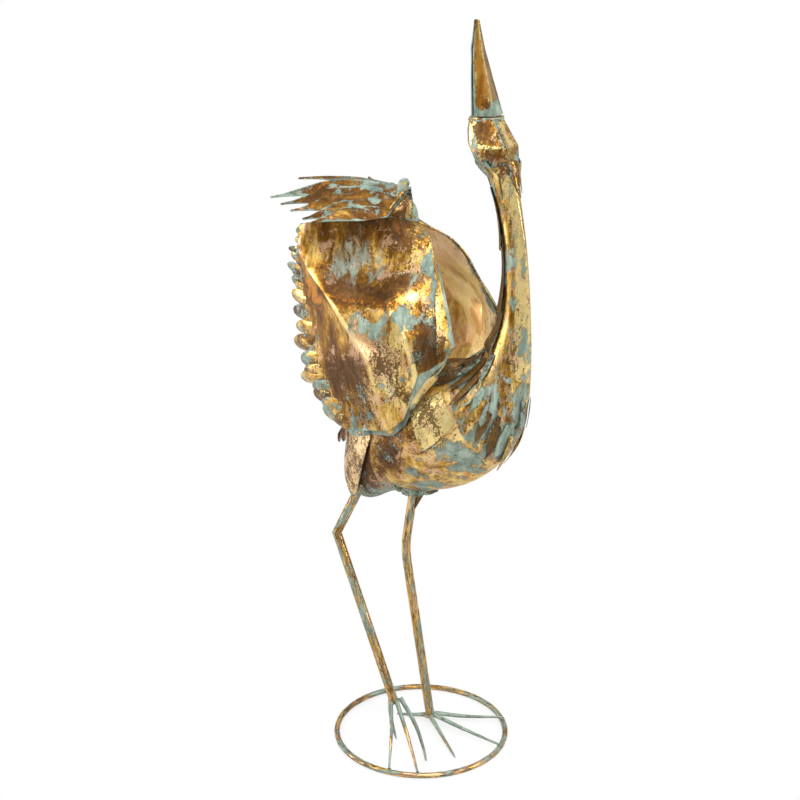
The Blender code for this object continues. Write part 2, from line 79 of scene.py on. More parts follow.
class Nodes:
    """Short ways to add and link nodes in one tree."""

    def __init__(self, tree):
        self.tree = tree

    def add(self, kind, given=None, **settings):
        """A new node with its settings, and with the given values or links by the input's name or number."""
        node = self.tree.nodes.new(kind)
        for key, value in settings.items():
            setattr(node, key, value)
        for key, value in (given or {}).items():
            self.feed(node.inputs[key], value)
        return node

    def feed(self, socket, value):
        if isinstance(value, bpy.types.NodeSocket):
            self.tree.links.new(value, socket)
        else:
            socket.default_value = value

    def sums(self, operation, first, second=0.0):
        return self.add("ShaderNodeMath", {0: first, 1: second}, operation=operation).outputs[0]

    def vector_sums(self, operation, first, second):
        return self.add("ShaderNodeVectorMath", {0: first, 1: second}, operation=operation).outputs[0]

    def mottle(self, place, scale, detail=4.0, roughness=0.55, distortion=0.0):
        given = {"Vector": place, "Scale": scale, "Detail": detail, "Roughness": roughness, "Distortion": distortion}
        return self.add("ShaderNodeTexNoise", given, noise_dimensions="3D").outputs["Fac"]

    def step(self, value, low, high, least=0.0, most=1.0):
        given = {"Value": value, "From Min": low, "From Max": high, "To Min": least, "To Max": most}
        return self.add("ShaderNodeMapRange", given, interpolation_type="SMOOTHSTEP").outputs["Result"]

    def blend(self, share, first, second):
        return self.add("ShaderNodeMix", {0: share, 6: first, 7: second}, data_type="RGBA").outputs[2]

    def between(self, share, first, second):
        return self.add("ShaderNodeMix", {0: share, 2: first, 3: second}, data_type="FLOAT").outputs[0]

    def ramp(self, value, stops):
        node = self.add("ShaderNodeValToRGB", {"Fac": value})
        band = node.color_ramp
        while len(band.elements) < len(stops):
            band.elements.new(0.5)
        for element, (place, colour) in zip(band.elements, stops):
            element.position = place
            element.color = colour
        return node.outputs["Color"]


GOLD_DARK, GOLD_DEEP = srgb(92, 58, 16), srgb(146, 102, 34)
GOLD_MID, GOLD_PALE = srgb(208, 166, 82), srgb(248, 222, 150)
ORANGE_LEAF, PINK_LEAF = srgb(208, 134, 40), srgb(226, 182, 148)
GREEN_DARK, GREEN_MID, GREEN_PALE = srgb(92, 108, 96), srgb(128, 146, 131), srgb(168, 182, 166)
BROWN_DARK, BROWN_RED = srgb(50, 31, 8), srgb(106, 66, 20)

# Inputs of the torn leaf that are written on the meshes, and the name of the layer that each reads. The tone layer
# darkens the gold where it is positive and pales it where it is negative, both for the leaf's own tone and as painted
# shade and painted highlights.
MARK_LAYERS = {"Green marks": "green", "Brown marks": "brown", "Orange marks": "orange", "Tone and painted light marks": "tone_and_painted_light",
               "Wash marks": "wash", "Edge": "edge"}


def build_torn_leaf():
    """Verdigris paint under torn gold leaf, with brown patina in the tears and in specks and patches. Its tone marks
    also paint shade and highlights into the gold.
    """
    group = bpy.data.node_groups.new("torn_leaf", "ShaderNodeTree")
    new_socket = group.interface.new_socket
    new_socket(name="Place", in_out="INPUT", socket_type="NodeSocketVector")
    new_socket(name="Brush", in_out="INPUT", socket_type="NodeSocketVector").default_value = (1.0, 1.0, 0.3)
    numbers = {"Patches per metre": 14.0, "Green share": 0.5, "Brown share": 0.3, "Orange share": 0.2,
               "Gold roughness": 0.3, "Gold metal": 0.92}
    for name in (*numbers, *MARK_LAYERS):
        new_socket(name=name, in_out="INPUT", socket_type="NodeSocketFloat").default_value = numbers.get(name, 0.0)
    outputs = [("Colour", "Color"), ("Roughness", "Float"), ("Metallic", "Float"), ("Height", "Float")]
    for name, kind in outputs:
        new_socket(name=name, in_out="OUTPUT", socket_type="NodeSocket" + kind)
    make = Nodes(group)
    given = make.add("NodeGroupInput").outputs
    place, patches = given["Place"], given["Patches per metre"]
    brushed = make.vector_sums("MULTIPLY", place, given["Brush"])

    def share_of(name, weight):
        return times(make.sums("SUBTRACT", given[name], 0.5), weight)

    def sum_of(*terms):
        total = terms[0]
        for term in terms[1:]:
            total = make.sums("ADD", total, term)
        return total

    def times(value, factor):
        return make.sums("MULTIPLY", value, factor)

    zone = make.mottle(place, times(patches, 0.8), 2.0, 0.5, 0.4)
    crunch = make.mottle(place, times(patches, 3.2), 9.0, 0.74, 0.35)
    strokes = make.mottle(brushed, times(patches, 3.0), 9.0, 0.70, 0.2)
    level = sum_of(
        times(zone, 0.40), times(crunch, 0.55), times(strokes, 0.60), share_of("Green share", 0.42),
        times(given["Green marks"], 0.13), times(given["Edge"], 0.12), -0.275,
    )
    solid_paint = make.step(level, 0.490, 0.510)
    torn_edge = times(make.step(level, 0.466, 0.490), make.step(level, 0.502, 0.520, 1.0, 0.0))
    washed = times(make.step(sum_of(strokes, times(given["Wash marks"], 0.16)), 0.58, 0.74), 0.75)
    green = make.sums("MAXIMUM", solid_paint, washed)

    tone = make.mottle(brushed, times(patches, 2.6), 10.0, 0.74, 0.3)
    # The tone marks push the gold towards dark where positive and towards pale where negative: painted shade and
    # painted highlights, besides the leaf's own tone
    tone_with_painted_light = sum_of(tone, times(given["Tone and painted light marks"], -0.12))
    gold = make.ramp(tone_with_painted_light, [(0.26, GOLD_DARK), (0.40, GOLD_DEEP), (0.50, GOLD_MID), (0.61, GOLD_PALE)])
    flush = make.mottle(place, times(patches, 2.1), 8.0, 0.68, 0.6)
    orange_level = sum_of(flush, share_of("Orange share", 0.4), times(given["Orange marks"], 0.22))
    gold = make.blend(times(make.step(orange_level, 0.56, 0.64), 0.7), gold, ORANGE_LEAF)
    gold = make.blend(times(make.step(orange_level, 0.33, 0.42, 1.0, 0.0), 0.6), gold, PINK_LEAF)
    wash = make.mottle(brushed, times(patches, 4.0), 9.0, 0.74, 0.2)
    paint = make.ramp(wash, [(0.36, GREEN_DARK), (0.49, GREEN_MID), (0.62, GREEN_PALE)])

    blotch = make.mottle(brushed, times(patches, 5.5), 9.0, 0.80, 0.5)
    grains = make.mottle(place, 290.0, 4.0, 0.7, 0.3)
    where = make.mottle(place, times(patches, 1.1), 3.0, 0.55, 0.6)
    wander = make.add("ShaderNodeTexNoise", {"Vector": place, "Scale": times(patches, 9.0)}, noise_dimensions="3D")
    shaken = make.vector_sums("MULTIPLY", wander.outputs["Color"], (0.012, 0.012, 0.012))
    cracked = {"Vector": make.vector_sums("ADD", brushed, shaken), "Scale": times(patches, 6.0)}
    cracks = make.add("ShaderNodeTexVoronoi", cracked, feature="DISTANCE_TO_EDGE")
    crack_lines = make.step(cracks.outputs["Distance"], 0.01, 0.09, 1.0, 0.0)
    stain_level = sum_of(
        times(blotch, 0.46), times(grains, 0.34), times(where, 0.20), share_of("Brown share", 0.26),
        times(given["Brown marks"], 0.085), times(green, -0.035), times(crack_lines, 0.030),
    )
    stained = make.step(stain_level, 0.522, 0.544)
    rusty = make.mottle(brushed, times(patches, 8.0), 8.0, 0.75, 0.3)
    rust = make.ramp(rusty, [(0.38, BROWN_DARK), (0.62, BROWN_RED)])

    colour = make.blend(green, gold, paint)
    colour = make.blend(times(torn_edge, 0.5), colour, rust)
    colour = make.blend(times(stained, 0.88), colour, rust)
    colour = make.blend(times(make.step(given["Edge"], 0.80, 1.0), 0.35), colour, GREEN_DARK)

    gold_roughness = sum_of(given["Gold roughness"], times(make.sums("SUBTRACT", tone, 0.5), 0.5),
                            make.sums("MAXIMUM", times(given["Tone and painted light marks"], 0.10), 0.0))
    roughness = make.between(green, gold_roughness, 0.50)
    roughness = make.between(stained, roughness, 0.48)
    metallic = make.between(green, given["Gold metal"], 0.20)
    metallic = make.between(stained, metallic, 0.80)
    scratches = make.mottle(brushed, 420.0, 3.0, 0.6, 0.0)
    height = sum_of(times(green, -0.30), times(stained, -0.30), times(crunch, 1.0), times(scratches, 0.25))

    out = make.add("NodeGroupOutput").inputs
    for name, value in (("Colour", colour), ("Roughness", roughness), ("Metallic", metallic), ("Height", height)):
        make.feed(out[name], value)
    return group


TORN_LEAF = build_torn_leaf()


def leaf_finish(name, shares, patches, brush, shine=0.3, coat=0.06, bump=0.0006, metal=0.92, course=False):
    """A material of torn leaf over paint. shares are its own green, brown and orange shares, and course draws its
    streaks along a rod."""
    material = bpy.data.materials.new(name)
    material.use_nodes = True
    make = Nodes(material.node_tree)

    def layer(name, output="Fac"):
        return make.add("ShaderNodeAttribute", attribute_name=name).outputs[output]

    place = layer("course", "Vector") if course else make.add("ShaderNodeTexCoord").outputs["Object"]
    given = {"Place": place, "Brush": brush, "Patches per metre": patches}
    given |= {"Gold roughness": shine, "Gold metal": metal}
    given |= dict(zip(("Green share", "Brown share", "Orange share"), shares))
    given |= {socket: layer(name) for socket, name in MARK_LAYERS.items()}
    leaf = make.add("ShaderNodeGroup", node_tree=TORN_LEAF)
    for socket, value in given.items():
        make.feed(leaf.inputs[socket], value)
    relief = make.add("ShaderNodeBump", {"Strength": 0.55, "Distance": bump, "Height": leaf.outputs["Height"]})
    shader = material.node_tree.nodes["Principled BSDF"]
    for socket, value in (("Base Color", leaf.outputs["Colour"]), ("Roughness", leaf.outputs["Roughness"]),
                          ("Metallic", leaf.outputs["Metallic"]), ("Normal", relief.outputs["Normal"]),
                          ("Coat Weight", coat), ("Coat Roughness", 0.22)):
        make.feed(shader.inputs[socket], value)
    return material


# Each finish: its green, brown and orange shares, its patches to the metre and the way its strokes are drawn out
WING_LEAF = leaf_finish("wing_leaf", (0.26, 0.42, 0.36), 15, (1, 1, 0.28), shine=0.28)
LINING_PAINT = leaf_finish("lining_paint", (0.24, 0.27, 0.26), 15, (1, 1, 0.4), shine=0.36, metal=0.40)
TONGUE_LEAF = leaf_finish("tongue_leaf", (0.36, 0.50, 0.45), 26, (0.6, 0.4, 1))
FEATHER_LEAF = leaf_finish("feather_leaf", (0.40, 0.45, 0.5), 16, (1, 0.3, 1), shine=0.42, metal=0.8)
BELLY_LEAF = leaf_finish("belly_leaf", (0.30, 0.38, 0.30), 13, (0.8, 0.8, 1), shine=0.44, metal=0.72)
RUMP_LEAF = leaf_finish("rump_leaf", (0.30, 0.56, 0.15), 16, (0.8, 1, 0.6))
BREAST_LEAF = leaf_finish("breast_leaf", (0.50, 0.42, 0.25), 17, (1, 1, 0.2), shine=0.28)
NECK_LEAF = leaf_finish("neck_leaf", (0.38, 0.32, 0.35), 22, (1, 1, 0.14), shine=0.26, bump=0.0003)
HEAD_LEAF = leaf_finish("head_leaf", (0.34, 0.54, 0.3), 24, (1, 1, 0.6), shine=0.20, bump=0.00025)
BILL_LEAF = leaf_finish("bill_leaf", (0.14, 0.28, 0.40), 22, (1, 1, 0.3), shine=0.28, bump=0.00025)
NAPE_LEAF = leaf_finish("nape_leaf", (0.25, 0.85, 0.4), 18, (1, 1, 0.4))
SADDLE_LEAF = leaf_finish("saddle_leaf", (0.34, 0.88, 0.35), 17, (1, 0.5, 1))
BARB_LEAF = leaf_finish("barb_leaf", (0.50, 0.56, 0.35), 24, (1, 1, 0.5))
TAIL_LEAF = leaf_finish("tail_leaf", (0.22, 0.52, -0.1), 18, (1, 1, 0.5))
LEG_LEAF = leaf_finish("leg_leaf", (0.46, 0.48, 0.25), 42, (1, 1, 0.5), shine=0.27, bump=0.0003, course=True)
RING_LEAF = leaf_finish("ring_leaf", (0.42, 0.52, 0.15), 38, (1, 1, 1), shine=0.28, bump=0.0003, course=True)
SPOTTED_LEAF = leaf_finish("spotted_leaf", (0.12, 0.60, -0.35), 17, (1, 1, 0.7), shine=0.36)
TOE_LEAF = leaf_finish("toe_leaf", (0.66, 0.50, 0.1), 42, (1, 1, 0.5), bump=0.0003, course=True)
WELD_LEAF = leaf_finish("weld_leaf", (0.62, 0.45, 0.1), 30, (1, 1, 1), shine=0.35)
DARK_STEEL = leaf_finish("dark_steel", (0.30, 0.88, 0.0), 20, (1, 1, 0.3), shine=0.4, coat=0.05)


# Making pieces


def evaluated_mesh(holder):
    """The plain mesh of an object with its modifiers carried out. The object itself goes."""
    graph = bpy.context.evaluated_depsgraph_get()
    mesh = bpy.data.meshes.new_from_object(
        holder.evaluated_get(graph), preserve_all_data_layers=True, depsgraph=graph
    )
    bpy.data.objects.remove(holder, do_unlink=True)
    return mesh


def hold(data):
    holder = bpy.data.objects.new("holder", data)
    bpy.context.scene.collection.objects.link(holder)
    return holder


def place_piece(name, mesh, finish, crisp=38):
    """Puts a finished mesh in the scene as a piece of the statue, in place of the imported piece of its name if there
    is one. Folds sharper than crisp degrees stay sharp."""
    mesh.name = name
    mesh.materials.clear()
    mesh.materials.append(finish)
    mesh.shade_smooth()
    mesh.set_sharp_from_angle(angle=math.radians(crisp))
    piece = bpy.data.objects.new(name, mesh)
    bpy.context.scene.collection.objects.link(piece)
    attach(piece, "root")
    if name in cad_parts:
        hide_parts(name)


def write_layer(mesh, name, values):
    layer = mesh.attributes.new(name, "FLOAT", "POINT")
    layer.data.foreach_set("value", np.asarray(values, np.float32).ravel())


def write_vectors(mesh, name, values):
    layer = mesh.attributes.new(name, "FLOAT_VECTOR", "POINT")
    layer.data.foreach_set("vector", np.array(values, np.float32).ravel())


def edge_nearness(points, reach=0.005):
    """1 at a cut edge, falling to 0 a few millimetres inside."""
    rows, columns = points.shape[:2]
    nearest = np.full((rows, columns), 9.0)
    for axis in (0, 1):
        steps = np.linalg.norm(np.diff(points, axis=axis), axis=2)
        shape = (1, columns) if axis == 0 else (rows, 1)
        run = np.concatenate([np.zeros(shape), np.cumsum(steps, axis=axis)], axis=axis)
        whole = np.take(run, [-1], axis=axis)
        nearest = np.minimum(nearest, np.minimum(run, whole - run))
    return np.clip(1 - nearest / reach, 0, 1)


def normals_of(points):
    across = np.gradient(points, axis=1)
    along = np.gradient(points, axis=0)
    normal = np.cross(along, across)
    return normal / np.maximum(np.linalg.norm(normal, axis=2, keepdims=True), 1e-9)


def dented(points, coarse=0.0008, fine=0.0003, coarse_size=0.045, fine_size=0.014):
    """Hammer dents and handling waves in a grid of points."""
    normals = normals_of(points)
    lift = np.zeros(points.shape[:2])
    for i, row in enumerate(points):
        for j, spot in enumerate(row):
            at = Vector(spot)
            lift[i, j] = coarse * noise.noise(at / coarse_size) + fine * noise.noise(at / fine_size)
    return points + normals * lift[..., None]


def dented_round(points, *dents):
    """Dents in a grid that closes on itself across."""
    return dented(np.concatenate([points, points[:, :1]], axis=1), *dents)[:, :-1]


def softened(points, weights, rounds):
    """Evens out a grid, more where its weight is larger. Its outline stays."""
    for _ in range(rounds):
        mean = points.copy()
        mean[1:-1, 1:-1] = (points[:-2, 1:-1] + points[2:, 1:-1] + points[1:-1, :-2] + points[1:-1, 2:]) / 4
        points = points + (mean - points) * weights[..., None]
    return points


def grid_faces(rows, columns, wrap=False):
    faces = []
    for i in range(rows - 1):
        for j in range(columns if wrap else columns - 1):
            k = (j + 1) % columns
            faces.append((i * columns + j, i * columns + k, (i + 1) * columns + k, (i + 1) * columns + j))
    return faces


def tube_faces(rows, columns):
    """Faces of a grid that closes on itself across, with a cap at each end."""
    caps = [tuple(range(columns))[::-1], tuple(range((rows - 1) * columns, rows * columns))]
    return grid_faces(rows, columns, wrap=True) + caps


def mesh_of(points, faces, layers):
    mesh = bpy.data.meshes.new("sheet")
    mesh.from_pydata([Vector(spot) + RING_CENTRE for spot in points.reshape(-1, 3)], [], faces)
    for name in MARK_LAYERS.values():
        values = layers.get(name)
        write_layer(mesh, name, np.zeros(len(mesh.vertices)) if values is None else values)
    return mesh


def add_wall(holder, wall):
    thick = holder.modifiers.new("wall", "SOLIDIFY")
    thick.thickness = wall
    thick.offset = 0


def sheet_mesh(points, layers, wall=SHEET, worn=0.005):
    """A sheet of steel along a grid of points, with its wall and a worn rim."""
    edge = {"edge": edge_nearness(points, worn)}
    holder = hold(mesh_of(points, grid_faces(*points.shape[:2]), {**layers, **edge}))
    add_wall(holder, wall)
    rim = holder.modifiers.new("rim", "BEVEL")
    rim.width = wall * 0.22
    rim.segments = 1
    rim.limit_method = "ANGLE"
    rim.angle_limit = math.radians(62)
    return evaluated_mesh(holder)


def grid_of(place, rows, columns):
    return np.array([[place(i / rows, j / columns) for j in range(columns + 1)] for i in range(rows + 1)], float)


def marks_on(across, down, marks):
    """The sum of soft oval patches. Each is given by its middle, its half sizes and its strength."""
    total = np.zeros(np.broadcast(across, down).shape)
    for middle_across, middle_down, half_across, half_down, strength in marks:
        far = ((across - middle_across) / half_across) ** 2 + ((down - middle_down) / half_down) ** 2
        total += strength * np.exp(-far)
    return total


def layers_of(across, down, marks, base=None):
    """The layers of a grid: soft marks over an even base, by the names of the layers."""
    base = base or {}
    return {key: base.get(key, 0.0) + marks_on(across, down, marks.get(key, ())) for key in {**marks, **base}}


def grid_piece(name, finish, place, size, dents, marks=None, base=None, wall=SHEET, start=0.0, worn=0.005,
               crisp=38):
    """A dented sheet on a grid of size steps. Its marks are counted from 0 to 1 down the grid and from start to 1
    across it."""
    down, across = np.linspace(0, 1, size[0] + 1)[:, None], np.linspace(start, 1, size[1] + 1)[None, :]
    layers = layers_of(across, down, marks or {}, base)
    place_piece(name, sheet_mesh(dented(grid_of(place, *size), *dents), layers, wall, worn), finish, crisp)


def outward(mesh):
    whole = bmesh.new()
    whole.from_mesh(mesh)
    bmesh.ops.recalc_face_normals(whole, faces=whole.faces)
    whole.to_mesh(mesh)
    whole.free()


def closed_piece(name, points, faces, finish, layers=None, courses=None, crisp=38):
    """A closed skin. courses gives each point its place along a rod, for the streaks."""
    mesh = mesh_of(points, faces, layers or {})
    if courses:
        write_vectors(mesh, "course", courses)
    outward(mesh)
    place_piece(name, mesh, finish, crisp)


# Trees that repeat a shape: weld beads along a path, and cut tongues of sheet along a row of points


def new_tree(name, inputs, result):
    """A node tree with named inputs, its node maker and what it is given."""
    tree = bpy.data.node_groups.new(name, "GeometryNodeTree")
    for label, (kind, default) in inputs.items():
        socket = tree.interface.new_socket(name=label, in_out="INPUT", socket_type="NodeSocket" + kind)
        if default is not None:
            socket.default_value = default
    tree.interface.new_socket(name=result, in_out="OUTPUT", socket_type="NodeSocketGeometry")
    make = Nodes(tree)
    return tree, make, make.add("NodeGroupInput").outputs


def end_tree(make, result, finish, repeated):
    """Makes the repeated shape real geometry in its finish and hands it out of the tree."""
    copies = make.add("GeometryNodeInstanceOnPoints", repeated).outputs[0]
    real = make.add("GeometryNodeRealizeInstances", {"Geometry": copies})
    coat = make.add("GeometryNodeSetMaterial", {"Geometry": real.outputs[0], "Material": finish})
    make.add("NodeGroupOutput", {result: coat.outputs[0]})


def build_bead_tree():
    tree, make, given = new_tree("weld_bead", {
        "Path": ("Geometry", None), "Pitch": ("Float", 0.002), "Bead radius": ("Float", 0.0015), "Seed": ("Int", 1),
        "Finish": ("Material", None),
    }, "Weld")
    spots = make.add("GeometryNodeCurveToPoints", {"Curve": given["Path"], "Length": given["Pitch"]}, mode="LENGTH")
    bead = make.add("GeometryNodeMeshIcoSphere", {"Radius": given["Bead radius"], "Subdivisions": 2})

    def chance(least, most, seed_step):
        seed = make.add("FunctionNodeIntegerMath", {0: given["Seed"], 1: seed_step}, operation="ADD").outputs[0]
        values = {0: least, 1: most, "Seed": seed}
        return make.add("FunctionNodeRandomValue", values, data_type="FLOAT_VECTOR").outputs[0]

    end_tree(make, "Weld", given["Finish"], {
        "Points": spots.outputs["Points"], "Instance": bead.outputs["Mesh"],
        "Rotation": chance((-0.7, -0.7, -0.7), (0.7, 0.7, 0.7), 0),
        "Scale": chance((0.7, 0.7, 0.6), (1.3, 1.3, 1.2), 5),
    })
    return tree


BEAD_TREE = build_bead_tree()


def set_inputs(modifier, values):
    for item in modifier.node_group.interface.items_tree:
        if item.item_type == "SOCKET" and item.in_out == "INPUT" and item.name in values:
            modifier[item.identifier] = values[item.name]


def weld(name, points, radius, pitch, seed, closed=False, finish=WELD_LEAF):
    """A run of weld beads along the points, counted from the middle of the ring."""
    curve = bpy.data.curves.new("weld_path", "CURVE")
    curve.dimensions = "3D"
    line = curve.splines.new("POLY")
    line.points.add(len(points) - 1)
    for knot, spot in zip(line.points, points):
        knot.co = (*(Vector(spot) + RING_CENTRE), 1)
    line.use_cyclic_u = closed
    holder = hold(curve)
    beads = holder.modifiers.new("beads", "NODES")
    beads.node_group = BEAD_TREE
    set_inputs(beads, {"Pitch": pitch, "Bead radius": radius, "Seed": seed, "Finish": finish})
    place_piece(name, evaluated_mesh(holder), finish, crisp=60)


def build_row_tree():
    tree, make, given = new_tree("row_of_tongues", {
        "Row": ("Geometry", None), "Tongue": ("Object", None), "Finish": ("Material", None)}, "Tongues")
    blade = make.add("GeometryNodeObjectInfo", {"Object": given["Tongue"]}, transform_space="ORIGINAL")

    def written(name):
        node = make.add("GeometryNodeInputNamedAttribute", {"Name": name}, data_type="FLOAT_VECTOR")
        return node.outputs["Attribute"]

    end_tree(make, "Tongues", given["Finish"], {
        "Points": given["Row"], "Instance": blade.outputs["Geometry"],
        "Rotation": written("turn"), "Scale": written("size"),
    })
    return tree


ROW_TREE = build_row_tree()


def tongue_blade(outline, cup, curl, rows=18, columns=12):
    """One tongue, 1 wide and 1 long, its root at the origin and its tip along +Y. outline gives its half width
    at each share of its length, cup lifts its middle and curl lifts its tip, both for a tongue 1 long."""

    def place(along, across):
        side = 2 * across - 1
        lift = cup * (1 - side * side) * math.sin(math.pi * min(1, along * 1.1)) + curl * along**2
        return (side * outline(along), along, lift)

    points = grid_of(place, rows, columns)
    mesh = bpy.data.meshes.new("tongue")
    mesh.from_pydata(points.reshape(-1, 3).tolist(), [], grid_faces(rows + 1, columns + 1))
    side = np.abs(np.linspace(-1, 1, columns + 1))[None, :] * np.ones((rows + 1, 1))
    tip = np.linspace(0, 1, rows + 1)[:, None] * np.ones((1, columns + 1))
    near = np.clip(1 - np.minimum((1 - side) * 0.5, (1 - tip)) / 0.14, 0, 1)
    write_layer(mesh, "edge", near)
    return hold(mesh)


def rounded_tip(along):
    tip = math.sqrt(max(0.0016, 1 - max(0.0, (along - 0.45) / 0.55) ** 2.2))
    return 0.5 * (0.50 + 0.50 * min(1, along * 2)) * tip


def pointed_tip(along):
    return 0.5 * max(0.02, (1 - along) ** 0.62 * (0.80 + 0.55 * along))


def row_of_tongues(name, blade, spots):
    """Tongues at the spots: each has its root, the way to its tip, the way it faces, its width, its length and its
    green and brown shares."""
    row = bpy.data.meshes.new("row")
    row.from_pydata([Vector(spot[0]) + RING_CENTRE for spot in spots], [], [])
    turns, sizes = [], []
    for _root, tip_way, facing, width, length, _green, _brown in spots:
        along = Vector(tip_way).normalized()
        across = along.cross(Vector(facing)).normalized()
        up = across.cross(along).normalized()
        turns.append(tuple(Matrix((across, along, up)).transposed().to_euler()))
        sizes.append((width, length, length))
    write_vectors(row, "turn", turns)
    write_vectors(row, "size", sizes)
    write_layer(row, "green", [spot[5] for spot in spots])
    write_layer(row, "brown", [spot[6] for spot in spots])
    holder = hold(row)
    repeat = holder.modifiers.new("tongues", "NODES")
    repeat.node_group = ROW_TREE
    set_inputs(repeat, {"Tongue": blade, "Finish": TONGUE_LEAF})
    add_wall(holder, THIN_SHEET)
    place_piece(name, evaluated_mesh(holder), TONGUE_LEAF)


# Body, neck and head: sections from the rump to the bill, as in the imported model. Each has its front or under
# point and its back or upper point (y, z), its half width, how narrow it is to the front ridge, and its turn
SECTIONS = [
    ((0.145, 0.478), (0.140, 0.540), 0.012, 0.2, 0),
    ((0.137, 0.440), (0.122, 0.596), 0.042, 0.2, 0),
    ((0.100, 0.433), (0.086, 0.646), 0.068, 0.2, 0),
    ((0.050, 0.458), (0.044, 0.678), 0.086, 0.2, 0),
    ((-0.008, 0.474), (0.000, 0.692), 0.096, 0.2, 0),
    ((-0.068, 0.492), (-0.035, 0.702), 0.097, 0.2, 0),
    ((-0.118, 0.519), (-0.062, 0.708), 0.090, 0.25, 0),
    ((-0.156, 0.557), (-0.080, 0.713), 0.078, 0.3, 0),
    ((-0.184, 0.600), (-0.094, 0.721), 0.063, 0.35, 0),
    ((-0.198, 0.650), (-0.109, 0.731), 0.048, 0.4, 0),
    ((-0.203, 0.700), (-0.126, 0.748), 0.036, 0.45, 0),
    ((-0.204, 0.750), (-0.140, 0.778), 0.027, 0.5, 0),
    ((-0.202, 0.800), (-0.150, 0.815), 0.021, 0.5, 0),
    ((-0.198, 0.860), (-0.153, 0.868), 0.018, 0.5, 2),
    ((-0.191, 0.925), (-0.149, 0.930), 0.017, 0.5, 8),
    ((-0.181, 0.985), (-0.136, 0.982), 0.018, 0.4, 16),
    ((-0.173, 1.030), (-0.124, 1.020), 0.023, 0.3, 26),
    ((-0.170, 1.050), (-0.103, 1.040), 0.035, 0.2, 30),
    ((-0.1665, 1.071), (-0.089, 1.070), 0.0400, 0.1, 30),
    ((-0.1530, 1.090), (-0.087, 1.090), 0.0345, 0.1, 30),
    ((-0.139, 1.112), (-0.090, 1.110), 0.027, 0.2, 30),
]
BELLY_START, BREAST_START, NECK_START, HEAD_START = 3, 7, 10, 16
SQUARE = 0.85

# The hammered shells lie this far inside the sections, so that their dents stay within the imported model
SHELL_SEAT = -0.0004


def turned(point, centre, degrees):
    turn = -math.radians(degrees)
    reach = point - centre
    across = reach.x * math.cos(turn) - reach.y * math.sin(turn)
    along = reach.x * math.sin(turn) + reach.y * math.cos(turn)
    return Vector((centre.x + across, centre.y + along, point.z))


def on_section(row, angle, stand_off=0.0):
    """A point on a section: angle 0 is the front ridge, 90 the bird's left side and 180 the back."""
    front, back, half_width, ridge, twist = row
    front, back = Vector((0, *front)), Vector((0, *back))
    middle, half = (front + back) / 2, (back - front) / 2
    turn = math.radians(angle)
    across = math.copysign(abs(math.sin(turn)) ** SQUARE, math.sin(turn))
    narrow = 1 - ridge * max(0.0, math.cos(turn)) ** 2
    reach = Vector((half_width * across * narrow, 0, 0)) - half * math.cos(turn)
    reach += reach.normalized() * stand_off
    return turned(middle + reach, middle, twist)


def through(before, start, stop, after, share):
    """A smooth way from start to stop that heads from before and on to after."""
    return 0.5 * (
        2 * start
        + (stop - before) * share
        + (2 * before - 5 * start + 4 * stop - after) * share**2
        + (3 * start - before - 3 * stop + after) * share**3
    )


def on_body(station, angle, stand_off=0.0, rounded=True):
    """A point on the bird by its place along the sections, whole numbers being the sections themselves."""
    low = min(int(station), len(SECTIONS) - 2)
    share = station - low
    start = on_section(SECTIONS[low], angle, stand_off)
    stop = on_section(SECTIONS[low + 1], angle, stand_off)
    if not rounded or low >= HEAD_START - 1 or low == 0:
        return start.lerp(stop, share)
    before = on_section(SECTIONS[low - 1], angle, stand_off)
    after = on_section(SECTIONS[low + 2], angle, stand_off)
    return through(before, start, stop, after, share)


def round_layers(columns, stations, marks):
    """Layers round the body, their marks by angle, from -180 to 180, and by station."""
    around = (np.arange(columns) * 360 / columns + 180) % 360 - 180
    return layers_of(around[None, :], stations[:, None], marks)


def shell_piece(name, first, last, rows, columns, finish, marks, dents=(0.0010, 0.0004)):
    """One closed, hammered shell of the body between two stations."""
    stations = np.linspace(first, last, rows)
    angles = np.arange(columns) * 360 / columns
    points = np.array([[on_body(station, angle, SHELL_SEAT) for angle in angles] for station in stations], float)
    closed_piece(name, dented_round(points, *dents), tube_faces(rows, columns), finish,
                 round_layers(columns, stations, marks))


